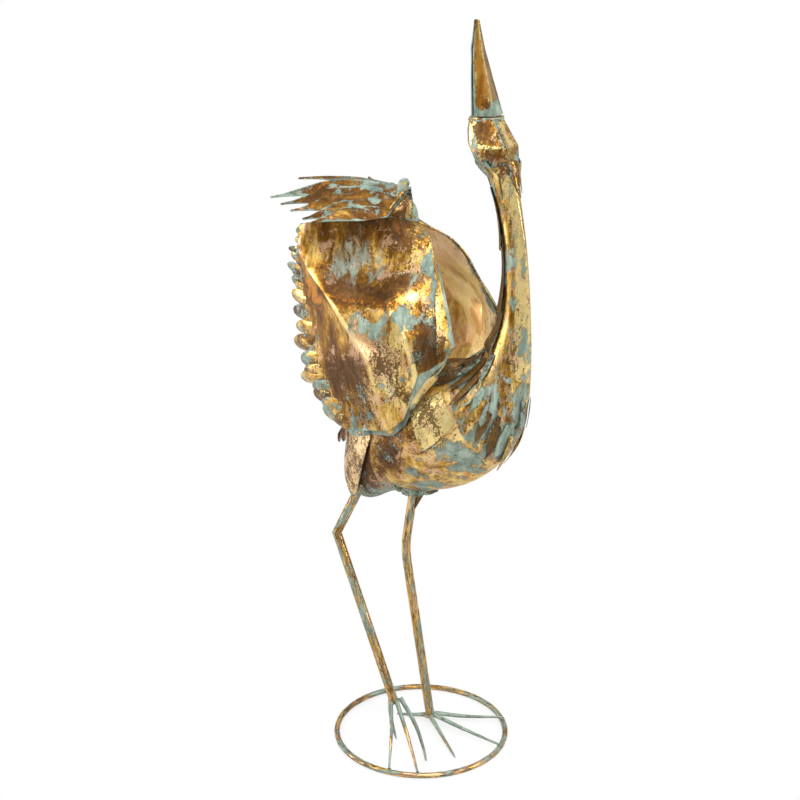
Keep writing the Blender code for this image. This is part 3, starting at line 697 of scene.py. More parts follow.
def body():
    shell_piece("rump_shell", 0, BELLY_START, 44, 120, RUMP_LEAF, {
        "green": [(-20, 2.4, 24, 0.9, 1.3), (-60, 1.6, 30, 0.8, 0.3), (0, 1.2, 30, 0.5, 0.9)],
        "brown": [(-90, 2.6, 24, 0.5, 1.3), (-60, 2.9, 20, 0.3, 0.9), (-55, 2.1, 40, 0.5, 0.7)],
        "tone_and_painted_light": [(-70, 2.2, 60, 1.2, 1.8)],
    })
    shell_piece("belly_shell", BELLY_START, BREAST_START, 90, 150, BELLY_LEAF, {
        "green": [(-20, 3.2, 24, 0.3, 1.0), (-24, 5.0, 18, 0.42, 0.9), (-55, 6.5, 20, 0.40, 1.2),
                  (0, 3.5, 30, 0.3, 0.9), (-74, 5.9, 12, 0.25, 0.5), (40, 5.5, 26, 0.7, 0.5),
                  (-35, 4.4, 10, 0.2, 0.5)],
        "brown": [(-86, 3.8, 20, 0.55, 1.6), (-60, 3.3, 12, 0.3, 0.6), (-100, 5.0, 12, 0.4, 0.9),
                  (80, 4.2, 26, 0.7, 0.6), (-30, 6.8, 10, 0.3, 0.7), (-45, 5.3, 8, 0.2, 0.5)],
        "tone_and_painted_light": [(-30, 5.8, 26, 1.2, -0.2), (-84, 3.8, 24, 0.7, 1.4), (-95, 4.6, 16, 0.8, 0.8)],
        "orange": [(-30, 6.0, 20, 0.6, 0.7)],
    })
    shell_piece("neck_base_shell", BREAST_START, NECK_START, 80, 130, BREAST_LEAF, {
        "green": [(-40, 7.8, 30, 0.5, 0.6), (-30, 9.2, 16, 0.6, 0.6), (-70, 8.4, 20, 0.5, 0.5)],
        "brown": [(-12, 8.8, 12, 0.9, 0.5), (-125, 9.0, 26, 1.4, 0.9), (125, 9.0, 26, 1.4, 0.9),
                  (-58, 9.4, 10, 0.5, 0.5)],
        "tone_and_painted_light": [(-5, 9.4, 9, 1.2, -1.2), (-40, 8.4, 60, 1.0, 0.5)],
    })
    # The broad pale tone mark over the front and near side of the neck paints light onto it.
    shell_piece("neck_shell", NECK_START, HEAD_START, 150, 72, NECK_LEAF, {
        "green": [(-50, 11.3, 20, 0.6, 0.7), (60, 12.5, 30, 1.0, 0.4), (-35, 13.4, 12, 0.4, 0.6)],
        "brown": [(-60, 12.3, 24, 0.5, 0.7), (-30, 13.6, 30, 0.5, 0.5), (-60, 14.6, 30, 0.5, 0.9),
                  (-62, 11.0, 10, 0.9, 0.8)],
        "tone_and_painted_light": [(-28, 15.3, 16, 0.6, -1.4), (-20, 12.4, 50, 2.0, -4.2), (-80, 12.0, 14, 4.0, 1.6)],
    }, (0.0003, 0.0002))


# Head: flat cheek and crown facets that meet at a seam down the front
HEAD_FACETS = 8


def head():
    rows, per_facet = 44, 12
    columns = HEAD_FACETS * per_facet
    stations = np.linspace(HEAD_START, len(SECTIONS) - 1, rows)

    def at(station, column):
        facet, share = divmod(column / per_facet, 1)
        corners = [on_body(station, 360 * (facet + k) / HEAD_FACETS, 0, False) for k in (0, 1)]
        return corners[0].lerp(corners[1], share)

    points = np.array([[at(station, j) for j in range(columns)] for station in stations], float)
    layers = round_layers(columns, stations, {
        "brown": [(-45, 19.2, 30, 0.8, 1.3), (-45, 17.4, 20, 0.5, 0.7), (-90, 18.5, 20, 0.6, -0.6),
                  (20, 18.4, 12, 1.0, -0.8)],
        "green": [(0, 18.0, 7, 3.0, 0.9), (40, 17.2, 22, 0.7, 1.0), (-45, 19.0, 26, 1.4, -0.8),
                  (-45, 16.6, 30, 0.3, 0.9)],
        "tone_and_painted_light": [(-30, 19.2, 22, 0.9, 1.5), (-35, 17.4, 22, 0.6, 0.8), (22, 19.0, 10, 1.0, -1.4),
                 (-95, 18.4, 24, 1.2, -1.0), (-40, 18.0, 60, 0.10, -2.4)],
    })
    points = dented_round(points, 0.00025, 0.0001, 0.03, 0.008)
    closed_piece("head_shell", points, tube_faces(rows, columns), HEAD_LEAF, layers, crisp=17)
    seam = [on_body(station, 2, 0.0004, False) for station in np.linspace(HEAD_START + 0.3, len(SECTIONS) - 1, 30)]
    weld("head_seam", seam, 0.0009, 0.0013, 4)
    crown = [on_body(len(SECTIONS) - 1.04 - 0.16 * abs(math.sin(angle * 0.047)) ** 3, angle, -0.0008, False)
             for angle in range(0, 360, 6)]
    weld("bill_weld", crown, 0.0016, 0.0017, 9, closed=True)


def leaf_on_body(root, tip, half_width, flare, rounded, seed):
    """The grid of one pointed leaf of sheet that lies on the body from its root to its tip, each a (station,
    angle), and stands off more towards the tip."""
    start, stop = (on_body(*spot, 0, rounded) for spot in (root, tip))
    length = (stop - start).length

    def place(along, across):
        side = 2 * across - 1
        bend = 0.10 * math.sin(math.pi * along) * math.sin(seed * 2.1)
        station = root[0] + (tip[0] - root[0]) * along
        angle = root[1] + (tip[1] - root[1]) * along
        half = half_width * min(1, 0.78 + 0.5 * along) * max(0.03, 1 - max(0.0, (along - 0.35) / 0.65) ** 1.7)
        half *= 1 + 0.10 * noise.noise(Vector((along * 6, side, seed * 4.7)))
        spot = on_body(station, angle, 0, rounded)
        aside = on_body(station, angle + 4, 0, rounded) - spot
        hand = 1 if aside.dot((stop - start).cross(outwards(spot, station, angle))) > 0 else -1
        spot = on_body(station, angle + hand * side * half / (aside.length / 4), 0, rounded)
        out = outwards(spot, station, angle)
        flat = (stop - start).cross(out).normalized()
        lift = 0.0014 + flare * along**1.6 + 0.08 * half * (1 - side * side) - 0.0005 * (along < 0.08)
        return spot + flat * bend * length * 0.5 + out * lift

    def outwards(spot, station, angle):
        return (spot - on_body(station, angle, -0.01, rounded)).normalized()

    return grid_of(place, 22, 8)


def leaves(name, leaf_list, finish, rounded=True):
    """Many leaves in one piece. Each is its root, tip, half width, flare and its green and brown share."""
    meshes = []
    for seed, (root, tip, half_width, flare, green, brown) in enumerate(leaf_list):
        points = dented(leaf_on_body(root, tip, half_width, flare, rounded, seed), 0.0003, 0.0002, 0.02, 0.006)
        layers = {"green": np.full(points.shape[:2], green), "brown": np.full(points.shape[:2], brown)}
        meshes.append(sheet_mesh(points, layers, LEAF_SHEET))
    joined = bmesh.new()
    for mesh in meshes:
        joined.from_mesh(mesh)
        bpy.data.meshes.remove(mesh)
    whole = bpy.data.meshes.new(name)
    joined.to_mesh(whole)
    joined.free()
    place_piece(name, whole, finish)


def cheek_tongues():
    """The jagged tongues of the head that lie over the top of the neck."""
    row = []
    for k, angle in enumerate(range(-176, 180, 27)):
        reach = 1.15 + 0.45 * math.cos(k * 1.7)
        root, tip = (16.9 + 0.2 * math.sin(k * 2.1), angle), (16.7 - reach, angle + 5 * math.sin(k))
        row.append((root, tip, 0.0085, 0.0006, -0.3 + 0.8 * (k % 3 == 0), 0.9 * math.sin(k * 1.3)))
    leaves("cheek_tongues", row, HEAD_LEAF, False)


# Bill: two halves folded to a V, by height: middle (y, z), half width, depth of the lower and of the upper half
BILL = [
    ((-0.117, 1.1135), 0.0255, 0.019, 0.020),
    ((-0.106, 1.167), 0.0170, 0.014, 0.014),
    ((-0.098, 1.211), 0.0100, 0.010, 0.010),
    ((-0.0955, 1.240), 0.0050, 0.005, 0.005),
    ((-0.0945, 1.254), 0.0025, 0.0025, 0.0025),
]
BILL_TURN = 30
BILL_SLIT = 0.0036
BILL_TIP_DROP = 0.0003


def bill_half(name, side, depth_column, marks):
    heights = [row[0][1] for row in BILL]

    def place(up, across):
        z = heights[0] + (heights[-1] - BILL_TIP_DROP - heights[0]) * up
        y, half, depth = (float(np.interp(z, heights, values)) for values in (
            [row[0][0] for row in BILL], [row[1] for row in BILL], [row[depth_column] for row in BILL]))
        reach = 2 * across - 1
        fold = (1 - abs(reach)) * depth
        spread = 0.97 if side < 0 else 1.06 + 0.10 * math.exp(-(((up - 0.72) / 0.06) ** 2))
        spot = Vector((half * reach * spread, y + side * (BILL_SLIT / 2 + fold), z))
        return turned(spot, Vector((0, y, z)), BILL_TURN)

    grid_piece(name, BILL_LEAF, place, (90, 18), (0.0002, 0.0001, 0.03, 0.006), marks,
               wall=0.0016, start=-1, worn=0.0012, crisp=20)


def bill():
    # The thin pale tone mark down the middle of the lower half paints a highlight along its folded ridge.
    bill_half("bill_lower", -1, 2, {
        "green": [(-0.4, 0.00, 1.2, 0.09, 2.2), (0.6, 0.05, 0.5, 0.22, 1.2), (-0.95, 0.4, 0.12, 0.5, 1.4)],
        "brown": [(-0.35, 0.13, 0.35, 0.06, 1.9), (0.95, 0.5, 0.2, 0.5, 1.2)],
        "orange": [(-0.4, 0.45, 0.5, 0.4, 1.6), (0.5, 0.5, 0.4, 0.6, -1.6)],
        "tone_and_painted_light": [(0.0, 0.5, 0.10, 0.9, -2.4), (-0.5, 0.6, 0.3, 0.4, 0.3)],
    })
    bill_half("bill_upper", 1, 3, {"green": [(0, 0.3, 1.5, 0.6, 2.0)], "brown": [(0, 0.7, 1, 0.2, 1.0)],
                                   "tone_and_painted_light": [(0, 0.6, 1, 0.6, 1.5)]})


# Plates laid on the body, and the light dents of small sheets
ON_BODY = SHEET / 2 + 0.0012
LIGHT_DENTS = (0.0004, 0.0002, 0.02, 0.006)


def nape():
    bands = (("nape_plate_lower", 10.3, 12.4), ("nape_plate_middle", 12.0, 14.1), ("nape_plate_upper", 13.7, 15.6))
    for number, (name, low, high) in enumerate(bands):

        def place(up, along):
            side = 2 * along - 1
            ragged = 0.10 * noise.noise(Vector((along * 9, number * 3.1, 0))) * (1 - up)
            lift = ON_BODY + 0.0034 * max(0.0, 1 - up * 2.0) + 0.0016 * abs(side) ** 3 * (1 - up * 0.5)
            return on_body(low + (high - low) * (up + ragged * 0.4), 180 + 64 * side, lift)

        grid_piece(name, NAPE_LEAF, place, (40, 36), (0.0004, 0.0002, 0.02, 0.007), wall=THIN_SHEET)


def saddle():
    def place(forward, along):
        return on_body(3.2 + 4.7 * forward, 180 + 40 * (2 * along - 1), ON_BODY)

    strokes = [(side * (0.25 + 0.16 * (k % 4)), 0.30 + 0.085 * k, 0.16, 0.012, 1.6)
               for k in range(8) for side in (-1, 1)]
    grid_piece("saddle_plate", SADDLE_LEAF, place, (90, 50), (0.0006, 0.0004, 0.03, 0.008),
               {"green": strokes}, wall=THIN_SHEET, start=-1)


# The side plate's corners as (station, angle): upper rear, upper front, lower front and lower rear
SIDE_CORNERS = ((4.75, 124), (6.45, 131), (7.10, 93), (5.30, 81))


def side_plate(side, word):
    def place(down, along):
        upper = [a + (b - a) * along for a, b in zip(SIDE_CORNERS[0], SIDE_CORNERS[1])]
        lower = [a + (b - a) * along for a, b in zip(SIDE_CORNERS[3], SIDE_CORNERS[2])]
        station, angle = (a + (b - a) * down for a, b in zip(upper, lower))
        lift = 0.0022 * max(0.0, 1 - along * 6) + 0.0016 * max(0.0, 1 - down * 6)
        return on_body(station, side * angle, ON_BODY + lift)

    # The broad pale tone mark over the whole side plate paints light onto it.
    grid_piece(f"{word}_side_plate", WING_LEAF, place, (44, 44), (0.0007, 0.0003, 0.03, 0.01), {
        "brown": [(0.50, 0.55, 0.13, 0.34, 0.9), (0.9, 0.3, 0.2, 0.2, 0.4), (0.2, 0.3, 0.3, 0.4, 0.3)],
        "tone_and_painted_light": [(0.5, 0.5, 0.9, 0.9, -4.4)],
        "green": [(0.5, 0.5, 0.9, 0.9, -1.6)],
    }, wall=THIN_SHEET)
    lower = [on_body(5.05 + 2.1 * k / 30, side * (79 + 10 * k / 30), 0.0012) for k in range(31)]
    weld(f"{word}_side_weld", lower, 0.0018, 0.0022, 3 + side, finish=RUMP_LEAF)


# Leaves cut from the lower edge of the neck and bent back over the body. Each has its root and its tip as
# (station, angle), its half width, how far the tip stands off, and its green and brown shares
COLLAR_UPPER = [
    ((9.9, 128), (7.05, 128), 0.0048, 0.0060, -1.2, 1.5),
    ((9.3, 116), (7.00, 110), 0.0052, 0.0080, -1.5, 0.9),
    ((10.0, 150), (8.2, 146), 0.0048, 0.0035, 0.2, 1.0),
    ((9.6, 140), (7.7, 138), 0.0040, 0.0045, 1.0, 0.3),
    ((9.2, 162), (7.5, 158), 0.0050, 0.0030, -0.4, 1.2),
    ((10.2, 168), (8.6, 170), 0.0048, 0.0030, 1.0, 0.6),
    ((8.7, 106), (7.65, 101), 0.0060, 0.0050, -0.6, -0.3),
    ((10.4, 112), (8.9, 104), 0.0050, 0.0030, 0.6, 0.2),
    ((7.8, 103), (7.20, 100), 0.0042, 0.0040, -1.6, -0.8),
]
COLLAR_LOWER = [
    ((8.7, 86), (7.20, 78), 0.0066, 0.0075, -1.4, -0.2),
    ((8.5, 70), (7.35, 64), 0.0062, 0.0070, -0.8, 1.6),
    ((8.6, 56), (7.50, 56), 0.0052, 0.0065, -0.6, 1.0),
    ((8.3, 50), (7.15, 42), 0.0060, 0.0080, -0.2, 1.9),
    ((8.5, 36), (7.25, 32), 0.0056, 0.0075, 1.6, -0.5),
    ((8.2, 24), (6.85, 9), 0.0058, 0.0080, -1.4, -0.2),
    ((9.0, 96), (8.0, 91), 0.0062, 0.0050, 1.5, 0.0),
    ((8.4, 76), (7.9, 71), 0.0060, 0.0050, 1.5, 0.0),
    ((9.4, 18), (8.4, 15), 0.0046, 0.0060, 0.9, 0.2),
]


def collars(side, word):
    for name, row in (("collar_upper", COLLAR_UPPER), ("collar_lower", COLLAR_LOWER)):
        close = 1.0 if side == RIGHT else 0.4
        turned_row = [((a, side * b), (c, side * d), half, close * flare, green, brown)
                      for (a, b), (c, d), half, flare, green, brown in row]
        leaves(f"{word}_{name}", turned_row, BARB_LEAF)


def rump_plate(side, word):
    """The light sheet at the side of the rump, from under the wing down over the top of the leg."""

    def place(down, along):
        middle = 2.05 - 0.15 * down
        station = middle + (along - 0.5) * (2.2 * (1 - down) ** 0.8 + 0.42)
        angle = 112 - 62 * down
        return on_body(station, side * angle, ON_BODY + 0.0145 * down**2.4 + 0.002 * math.sin(math.pi * along))

    grid_piece(f"{word}_rump_plate", SPOTTED_LEAF, place, (50, 40), (0.0006, 0.0003, 0.03, 0.01), {
        "tone_and_painted_light": [(0.5, 0.5, 1.0, 1.0, -1.2)], "green": [(0.5, 1.0, 0.8, 0.14, 1.4)],
    }, wall=THIN_SHEET)


TAIL_TOP, TAIL_DROP, TAIL_HALF_WIDTH = 0.612, 0.085, 0.052


def tree_of(mesh):
    corners = [vertex.co - RING_CENTRE for vertex in mesh.vertices]
    return BVHTree.FromPolygons(corners, [tuple(face.vertices) for face in mesh.polygons])


def scallop(share, tongues):
    across = (share * tongues) % 1.0
    return math.sqrt(max(0.0, 1 - (2 * across - 1) ** 2))


def belly_flange():
    """The ragged edge of sheet that hangs under the belly where its two halves meet."""

    def place(down, along):
        ragged = 0.6 + 0.5 * scallop(along, 4) + 0.35 * noise.noise(Vector((along * 11, 3.0, 0)))
        station, angle = 3.55 + 0.95 * along, -44 + 40 * along
        spot = on_body(station, angle, 0.0006 + 0.0030 * down)
        drop = 0.0095 * down * ragged * math.sin(math.pi * (0.12 + 0.80 * along))
        return spot + Vector((-0.35, 0.30, -0.75)) * drop

    grid_piece("belly_flange", BARB_LEAF, place, (14, 70), LIGHT_DENTS,
               base={"green": 1.2, "brown": 0.6}, wall=LEAF_SHEET)


def tail(rump_tree):
    def place(down, along):
        across = 2 * along - 1
        drop = TAIL_DROP * (1 - 0.18 * across**2) * (0.8 + 0.2 * scallop(along, 5))
        spot = Vector((TAIL_HALF_WIDTH * across * (0.75 + 0.25 * down), 0.3, TAIL_TOP - drop * down))
        hit = rump_tree.ray_cast(spot, Vector((0, -1, 0)))[0]
        back = hit.y if hit else 0.09
        hanging = 0.152 - 0.012 * across**2
        ridge = 0.0016 * scallop(along, 5) * down
        y = (back + ON_BODY) * (1 - down) + max(hanging, back + 0.003) * down - 0.0016 + ridge
        return Vector((spot.x, y, spot.z))

    grid_piece("tail", TAIL_LEAF, place, (40, 80), (0.0004, 0.0002, 0.03, 0.008))


# Wings: four ribs from the top fold to the lower edge, each point as its way out, y and z
FRONT_RIB = [
    (0.005, 0.007, 0.930), (0.024, -0.029, 0.910), (0.045, -0.049, 0.881), (0.059, -0.068, 0.838),
    (0.074, -0.093, 0.788), (0.082, -0.101, 0.743), (0.105, -0.056, 0.693),
]
KNUCKLE_RIB = [
    (0.050, 0.028, 0.947), (0.056, 0.022, 0.911), (0.066, 0.013, 0.869), (0.118, -0.012, 0.824),
    (0.122, -0.047, 0.778), (0.108, -0.060, 0.713), (0.108, -0.037, 0.636),
]
CREASE_RIB = [
    (0.105, 0.154, 0.930), (0.112, 0.159, 0.899), (0.122, 0.142, 0.861), (0.138, 0.094, 0.828),
    (0.150, 0.042, 0.785), (0.156, 0.001, 0.744), (0.118, -0.013, 0.613),
]
TRAILING_RIB = [
    (0.106, 0.167, 0.927), (0.108, 0.171, 0.894), (0.108, 0.174, 0.863), (0.100, 0.171, 0.798),
    (0.100, 0.165, 0.731), (0.100, 0.146, 0.656), (0.104, 0.082, 0.592),
]
WING_RIBS = [FRONT_RIB, KNUCKLE_RIB, CREASE_RIB, TRAILING_RIB]
LAST_STATION = len(FRONT_RIB) - 1
DISH_DEPTH = 0.018
INWARD = Vector((-0.94, 0.34, 0.0))
TO_THE_REAR = Vector((-0.25, 0.95, -0.15))
LINING_STEP, LINING_FRONT_STEP = 0.012, 0.0020
LAYER_STEP = 0.0026
SOFTENING_ROUNDS = 90
TONGUE_ROOT_CHORD, REAR_EDGE_CHORD = 2.70, 2.999
FRONT_RIM_END = 4.9


def along_rib(rib, station):
    low = max(0, min(int(station), LAST_STATION - 1))
    share = station - low
    start, stop = Vector(rib[low]), Vector(rib[low + 1])
    if rib is KNUCKLE_RIB or rib is CREASE_RIB:
        return start.lerp(stop, share)
    before = Vector(rib[low - 1]) if low else 2 * start - stop
    after = Vector(rib[low + 2]) if low + 2 <= LAST_STATION else 2 * stop - start
    return through(before, start, stop, after, share)


def on_wing(chord, station):
    """The wing's outer surface: chord 0 is the leading edge and 3 the trailing edge, station 0 the top."""
    low = max(0, min(int(chord), 2))
    spot = along_rib(WING_RIBS[low], station).lerp(along_rib(WING_RIBS[low + 1], station), chord - low)
    if 1 < chord < 2 and station < 3.8:
        hollow = float(rise(0, 2.7, station) * (1 - rise(2.75, 3.75, station)))
        spot.x -= DISH_DEPTH * math.sin(math.pi * (chord - 1)) * hollow
    return spot


def on_side(spot, side):
    return Vector((side * spot.x, spot.y, spot.z))


def rise(low, high, value):
    share = np.clip((value - low) / (high - low), 0, 1)
    return share * share * (3 - 2 * share)


def fold_weights(chords, stations):
    """How far each place of a wing may be evened out: not at all on its crisp folds, and most in the dish."""
    chord, station = np.meshgrid(chords, stations)
    crease = rise(0.9, 1.7, station) * np.exp(-(((chord - 2) / 0.03) ** 2)) * (1 - 0.7 * rise(5.2, 5.8, station))
    knuckle = rise(2.6, 3.0, station) * np.exp(-(((chord - 1) / 0.03) ** 2)) * (1 - 0.6 * rise(5.2, 5.8, station))
    flange = np.exp(-(((station - 5) / 0.05) ** 2)) * (chord < 1.01)
    level = 1 - 0.65 * rise(2.5, 3.0, station)
    return level * (1 - np.maximum(np.maximum(crease, knuckle), flange))


# Soft marks on the wings' outer plates: chord, station, half sizes and strength
# Some of these marks paint light: the dark tone marks in the dish, and the brown, orange and dark tone marks along
# the valley under it near station 3, paint shade and a warm dark reflection; the dark tone mark on the rear facet
# near chord 2.5 paints shade; the thin pale marks down chords 1 and 2, the pale strip by the fold at chord 2.15 and
# the pale marks at the lip near chord 0.6 paint highlights. The rest are paint and patina.
NEAR_MARKS = {
    "green": [(0.15, 2.00, 0.18, 0.40, 1.8), (0.0, 3.4, 0.11, 1.0, 2.4), (1.62, 3.80, 0.22, 0.60, 1.2),
              (1.80, 5.25, 0.12, 0.35, 1.3), (1.23, 5.00, 0.16, 0.30, 1.1), (0.70, 3.50, 0.24, 0.30, 1.0),
              (0.28, 4.20, 0.10, 0.40, 1.2), (2.60, 5.5, 0.5, 0.3, 1.0), (2.88, 4.2, 0.1, 0.4, 1.1),
              (0.8, 1.2, 0.6, 1.0, -0.6), (1.95, 1.0, 0.35, 1.4, -1.1), (1.35, 4.5, 0.3, 0.4, -0.7),
              (2.3, 3.3, 0.28, 1.2, -1.2), (0.6, 2.85, 0.4, 0.2, -1.6), (1.5, 0.6, 0.6, 0.6, -0.8)],
    "wash": [(1.36, 1.70, 0.36, 0.70, 1.35), (1.60, 2.25, 0.12, 0.50, 0.7), (0.57, 2.30, 0.20, 0.35, 1.2),
             (1.55, 4.1, 0.4, 0.9, 1.0), (2.5, 1.9, 0.3, 0.5, 1.0), (0.7, 3.5, 0.3, 0.4, 1.0)],
    "brown": [(0.62, 1.00, 0.36, 0.70, 1.2), (0.88, 0.15, 0.60, 0.35, 1.0), (1.45, 2.85, 0.62, 0.28, 2.5),
              (0.34, 4.30, 0.40, 0.75, 1.9), (0.62, 4.75, 0.35, 0.35, 1.4), (2.38, 5.15, 0.36, 0.50, 1.4),
              (1.40, 4.45, 0.36, 0.55, 0.7), (1.15, 5.45, 0.25, 0.30, 1.1), (0.6, 2.90, 0.4, 0.16, -1.4),
              (0.75, 2.35, 0.35, 0.25, 1.3), (1.5, 0.6, 0.6, 0.5, 0.4), (1.85, 4.6, 0.12, 0.9, -0.6),
              (2.3, 3.2, 0.3, 1.0, -0.5), (1.7, 4.9, 0.25, 0.3, 0.9), (2.75, 2.6, 0.3, 1.2, 0.8),
              (2.0, 3.3, 0.05, 1.9, -1.8), (1.0, 4.1, 0.05, 1.0, -1.8)],
    "orange": [(1.45, 3.02, 0.45, 0.12, 2.6), (2.4, 2.8, 0.4, 0.8, 1.0), (0.75, 3.9, 0.2, 0.2, 1.0),
               (1.7, 4.6, 0.4, 0.6, -1.0)],
    "tone_and_painted_light": [(1.5, 0.5, 0.6, 0.8, 1.8), (1.45, 1.7, 0.5, 0.5, 0.6), (1.70, 2.35, 0.40, 0.60, 2.2),
             (1.55, 2.92, 0.45, 0.24, 4.6), (1.12, 2.78, 0.2, 0.3, 0.8), (0.75, 0.6, 0.5, 0.8, 1.2),
             (0.36, 4.4, 0.4, 0.7, 1.1), (1.5, 4.3, 0.4, 0.7, 0.7), (2.50, 3.3, 0.34, 1.2, 1.7),
             (2.16, 3.2, 0.12, 0.6, -0.8), (1.6, 4.8, 0.5, 0.9, -1.2), (0.55, 2.92, 0.3, 0.10, -0.6),
             (0.6, 2.45, 0.4, 0.25, 2.4), (2.5, 1.0, 0.4, 0.7, 1.0), (2.5, 5.0, 0.5, 0.7, 1.8),
             (2.0, 3.4, 0.035, 1.6, -3.4), (1.0, 4.1, 0.04, 1.0, -3.2), (1.85, 3.1, 0.25, 0.35, 1.6)],
}
# On the far wing the dark tone mark at the top of the dish and the orange band along the valley near station 3 paint
# shade and a warm dark reflection, as on the near wing.
FAR_MARKS = {
    "green": [(1.4, 1.4, 0.4, 0.8, 1.0), (0.6, 3.6, 0.3, 0.6, 0.8), (2.3, 4.6, 0.4, 0.8, 0.8),
              (1.5, 5.9, 1.5, 0.15, 1.0)],
    "brown": [(1.0, 0.3, 0.8, 0.4, 0.7), (1.5, 2.8, 0.4, 0.3, 0.8), (0.3, 4.8, 0.3, 0.6, 1.0),
              (2.4, 2.4, 0.3, 0.5, 0.6)],
    "orange": [(1.45, 3.15, 0.45, 0.2, 1.4)],
    "tone_and_painted_light": [(1.5, 0.5, 0.6, 0.8, 1.0), (0.4, 4.4, 0.4, 0.7, 0.8), (2.4, 3.2, 0.4, 1.0, -0.8)],
}


def wing_grid(rows, columns, first_station):
    chords = np.linspace(0, 3, columns)
    stations = np.linspace(first_station, LAST_STATION, rows)
    points = np.array([[on_wing(chord, station) for chord in chords] for station in stations], float)
    points[-1, 1:-1] = points[-1, 1:-1] * 0.5 + (points[-1, :-2] + points[-1, 2:]) * 0.25
    return chords, stations, softened(points, fold_weights(chords, stations), SOFTENING_ROUNDS)


# The far wing's front top corner is pushed back by this much
FAR_SHIFT = Vector((0.0, 0.030, -0.008))


def far_share(chords, stations):
    return np.exp(-(((chords - 1) / 0.75) ** 2)) * (1 - rise(0.0, 1.6, stations))


def shifted(points, chords, stations):
    return points + far_share(chords[None, :], stations[:, None])[..., None] * np.array(FAR_SHIFT)


def cut_edge(points, chords, stations):
    """Cuts the trailing edge of a wing's plate into rounded teeth."""
    teeth = stations * 2.9
    tooth = np.sqrt(np.maximum(0, 1 - (2 * (teeth % 1.0) - 1) ** 2)) - 0.55
    out = rise(2.74, 3.0, chords)[None, :] * tooth[:, None] * (0.0045 + 0.0009 * stations[:, None])
    return points + out[..., None] * np.array(TO_THE_REAR)


def wing_plate(side, word):
    chords, stations, points = wing_grid(133, 115, 0)
    points = cut_edge(points, chords, stations)
    if side == LEFT:
        points = shifted(points, chords, stations)
    points[..., 0] *= side
    points = dented(points, 0.0009, 0.0004, 0.04, 0.012)
    layers = layers_of(chords[None, :], stations[:, None], NEAR_MARKS if side == RIGHT else FAR_MARKS)
    if side == RIGHT:
        flange = rise(5.0, 5.08, stations)[:, None] * (1 - rise(0.86, 1.0, chords))[None, :]
        layers["green"] += 2.5 * flange
        layers["brown"] -= 1.5 * flange
    place_piece(f"{word}_wing_outer_plate", sheet_mesh(points, layers), WING_LEAF, crisp=15)


LINING_SEAT = 0.0045


def wing_lining(side, word, belly_tree):
    chords, stations, points = wing_grid(111, 97, 0.35)
    points, chords = points[:, 1:-2], chords[1:-2]
    gap = LINING_FRONT_STEP + (LINING_STEP - LINING_FRONT_STEP) * rise(0.0, 0.55, chords)
    points = points + gap[None, :, None] * np.array(INWARD)
    lower = np.clip((stations - 4) / 2, 0, 1)
    points[..., 2] -= 0.014 * lower[:, None]
    points[..., 0] *= side
    for i, station in enumerate(stations):
        share = float(rise(5.2, 6.0, station))
        if not share:
            continue
        for j in range(points.shape[1]):
            spot = points[i, j]
            start = Vector((side * 0.3, spot[1], spot[2]))
            hit = belly_tree.ray_cast(start, Vector((-side, 0, 0)))[0]
            if hit:
                seat = side * (abs(hit.x) + LINING_SEAT)
                points[i, j, 0] += (seat - spot[0]) * share
    if side == LEFT:
        points = shifted(points, chords, stations)
    points = dented(points, 0.0009, 0.0004, 0.035, 0.012)
    # The broad pale tone mark over the front half of the lining paints light onto it where it lies in shade inside
    # the wing.
    layers = layers_of(chords[None, :], stations[:, None], {
        "green": [(2.8, 1.0, 0.5, 1.2, 0.5), (0.1, 3.0, 0.25, 3.0, 0.6), (1.5, 5.9, 2, 0.3, 1.2)],
        "tone_and_painted_light": [(0.6, 3.2, 0.9, 2.4, -4.6)],
        "orange": [(1.2, 4.4, 0.3, 0.5, 1.6), (0.7, 3.4, 0.3, 0.3, 1.2), (0.4, 1.4, 0.5, 0.8, -2.2)],
        "brown": [(1.6, 2.2, 0.5, 0.7, 0.6), (0.5, 5.3, 0.3, 0.3, 0.7)],
    })
    place_piece(f"{word}_wing_lining", sheet_mesh(points, layers), LINING_PAINT, crisp=15)


# Each row of tongues: its first and last station, number, reach past the edge, layer under the plate and tilt
SCALLOP_ROWS = (
    ("upper_scallops", 0.15, 2.5, 5, 0.010, 1, 0.30),
    ("outer_scallops", 2.2, 6.0, 11, 0.0165, 1, 0.42),
    ("inner_scallops", 1.2, 5.9, 12, 0.028, 2, 0.36),
)


def scallops(side, word, blade, sharp_blade):
    for name, top, bottom, tongues, reach, layer, tilt in SCALLOP_ROWS:
        spots = []
        for k in range(tongues):
            share = (k + 0.5) / tongues
            station = top + (bottom - top) * share
            step = (bottom - top) / tongues
            sunk = INWARD * (layer * LAYER_STEP + 0.0018)
            root = on_wing(TONGUE_ROOT_CHORD, station) + sunk
            stand_out = reach * (0.80 + 0.65 * share) * (1 + 0.22 * math.sin(k * 2.7 + layer))
            tip = on_wing(REAR_EDGE_CHORD, station + 0.12 * step) + TO_THE_REAR * stand_out + sunk
            lower = on_wing(REAR_EDGE_CHORD, min(LAST_STATION, station + step / 2))
            edge = lower - on_wing(REAR_EDGE_CHORD, station - step / 2)
            width = edge.length * (1.10 + 0.12 * math.sin(k * 1.9))
            facing = (tip - root).cross(edge)
            if facing.dot(INWARD) > 0:
                facing.negate()
            facing = facing.normalized() + edge.normalized() * tilt
            spots.append((on_side(root, side), on_side(tip - root, side), on_side(facing, side), width,
                          (tip - root).length, 0.9 * math.sin(k * 2.3 + layer), 0.8 * math.sin(k * 3.7 + 2)))
        row_of_tongues(f"{word}_{name}", sharp_blade if name == "upper_scallops" else blade, spots)


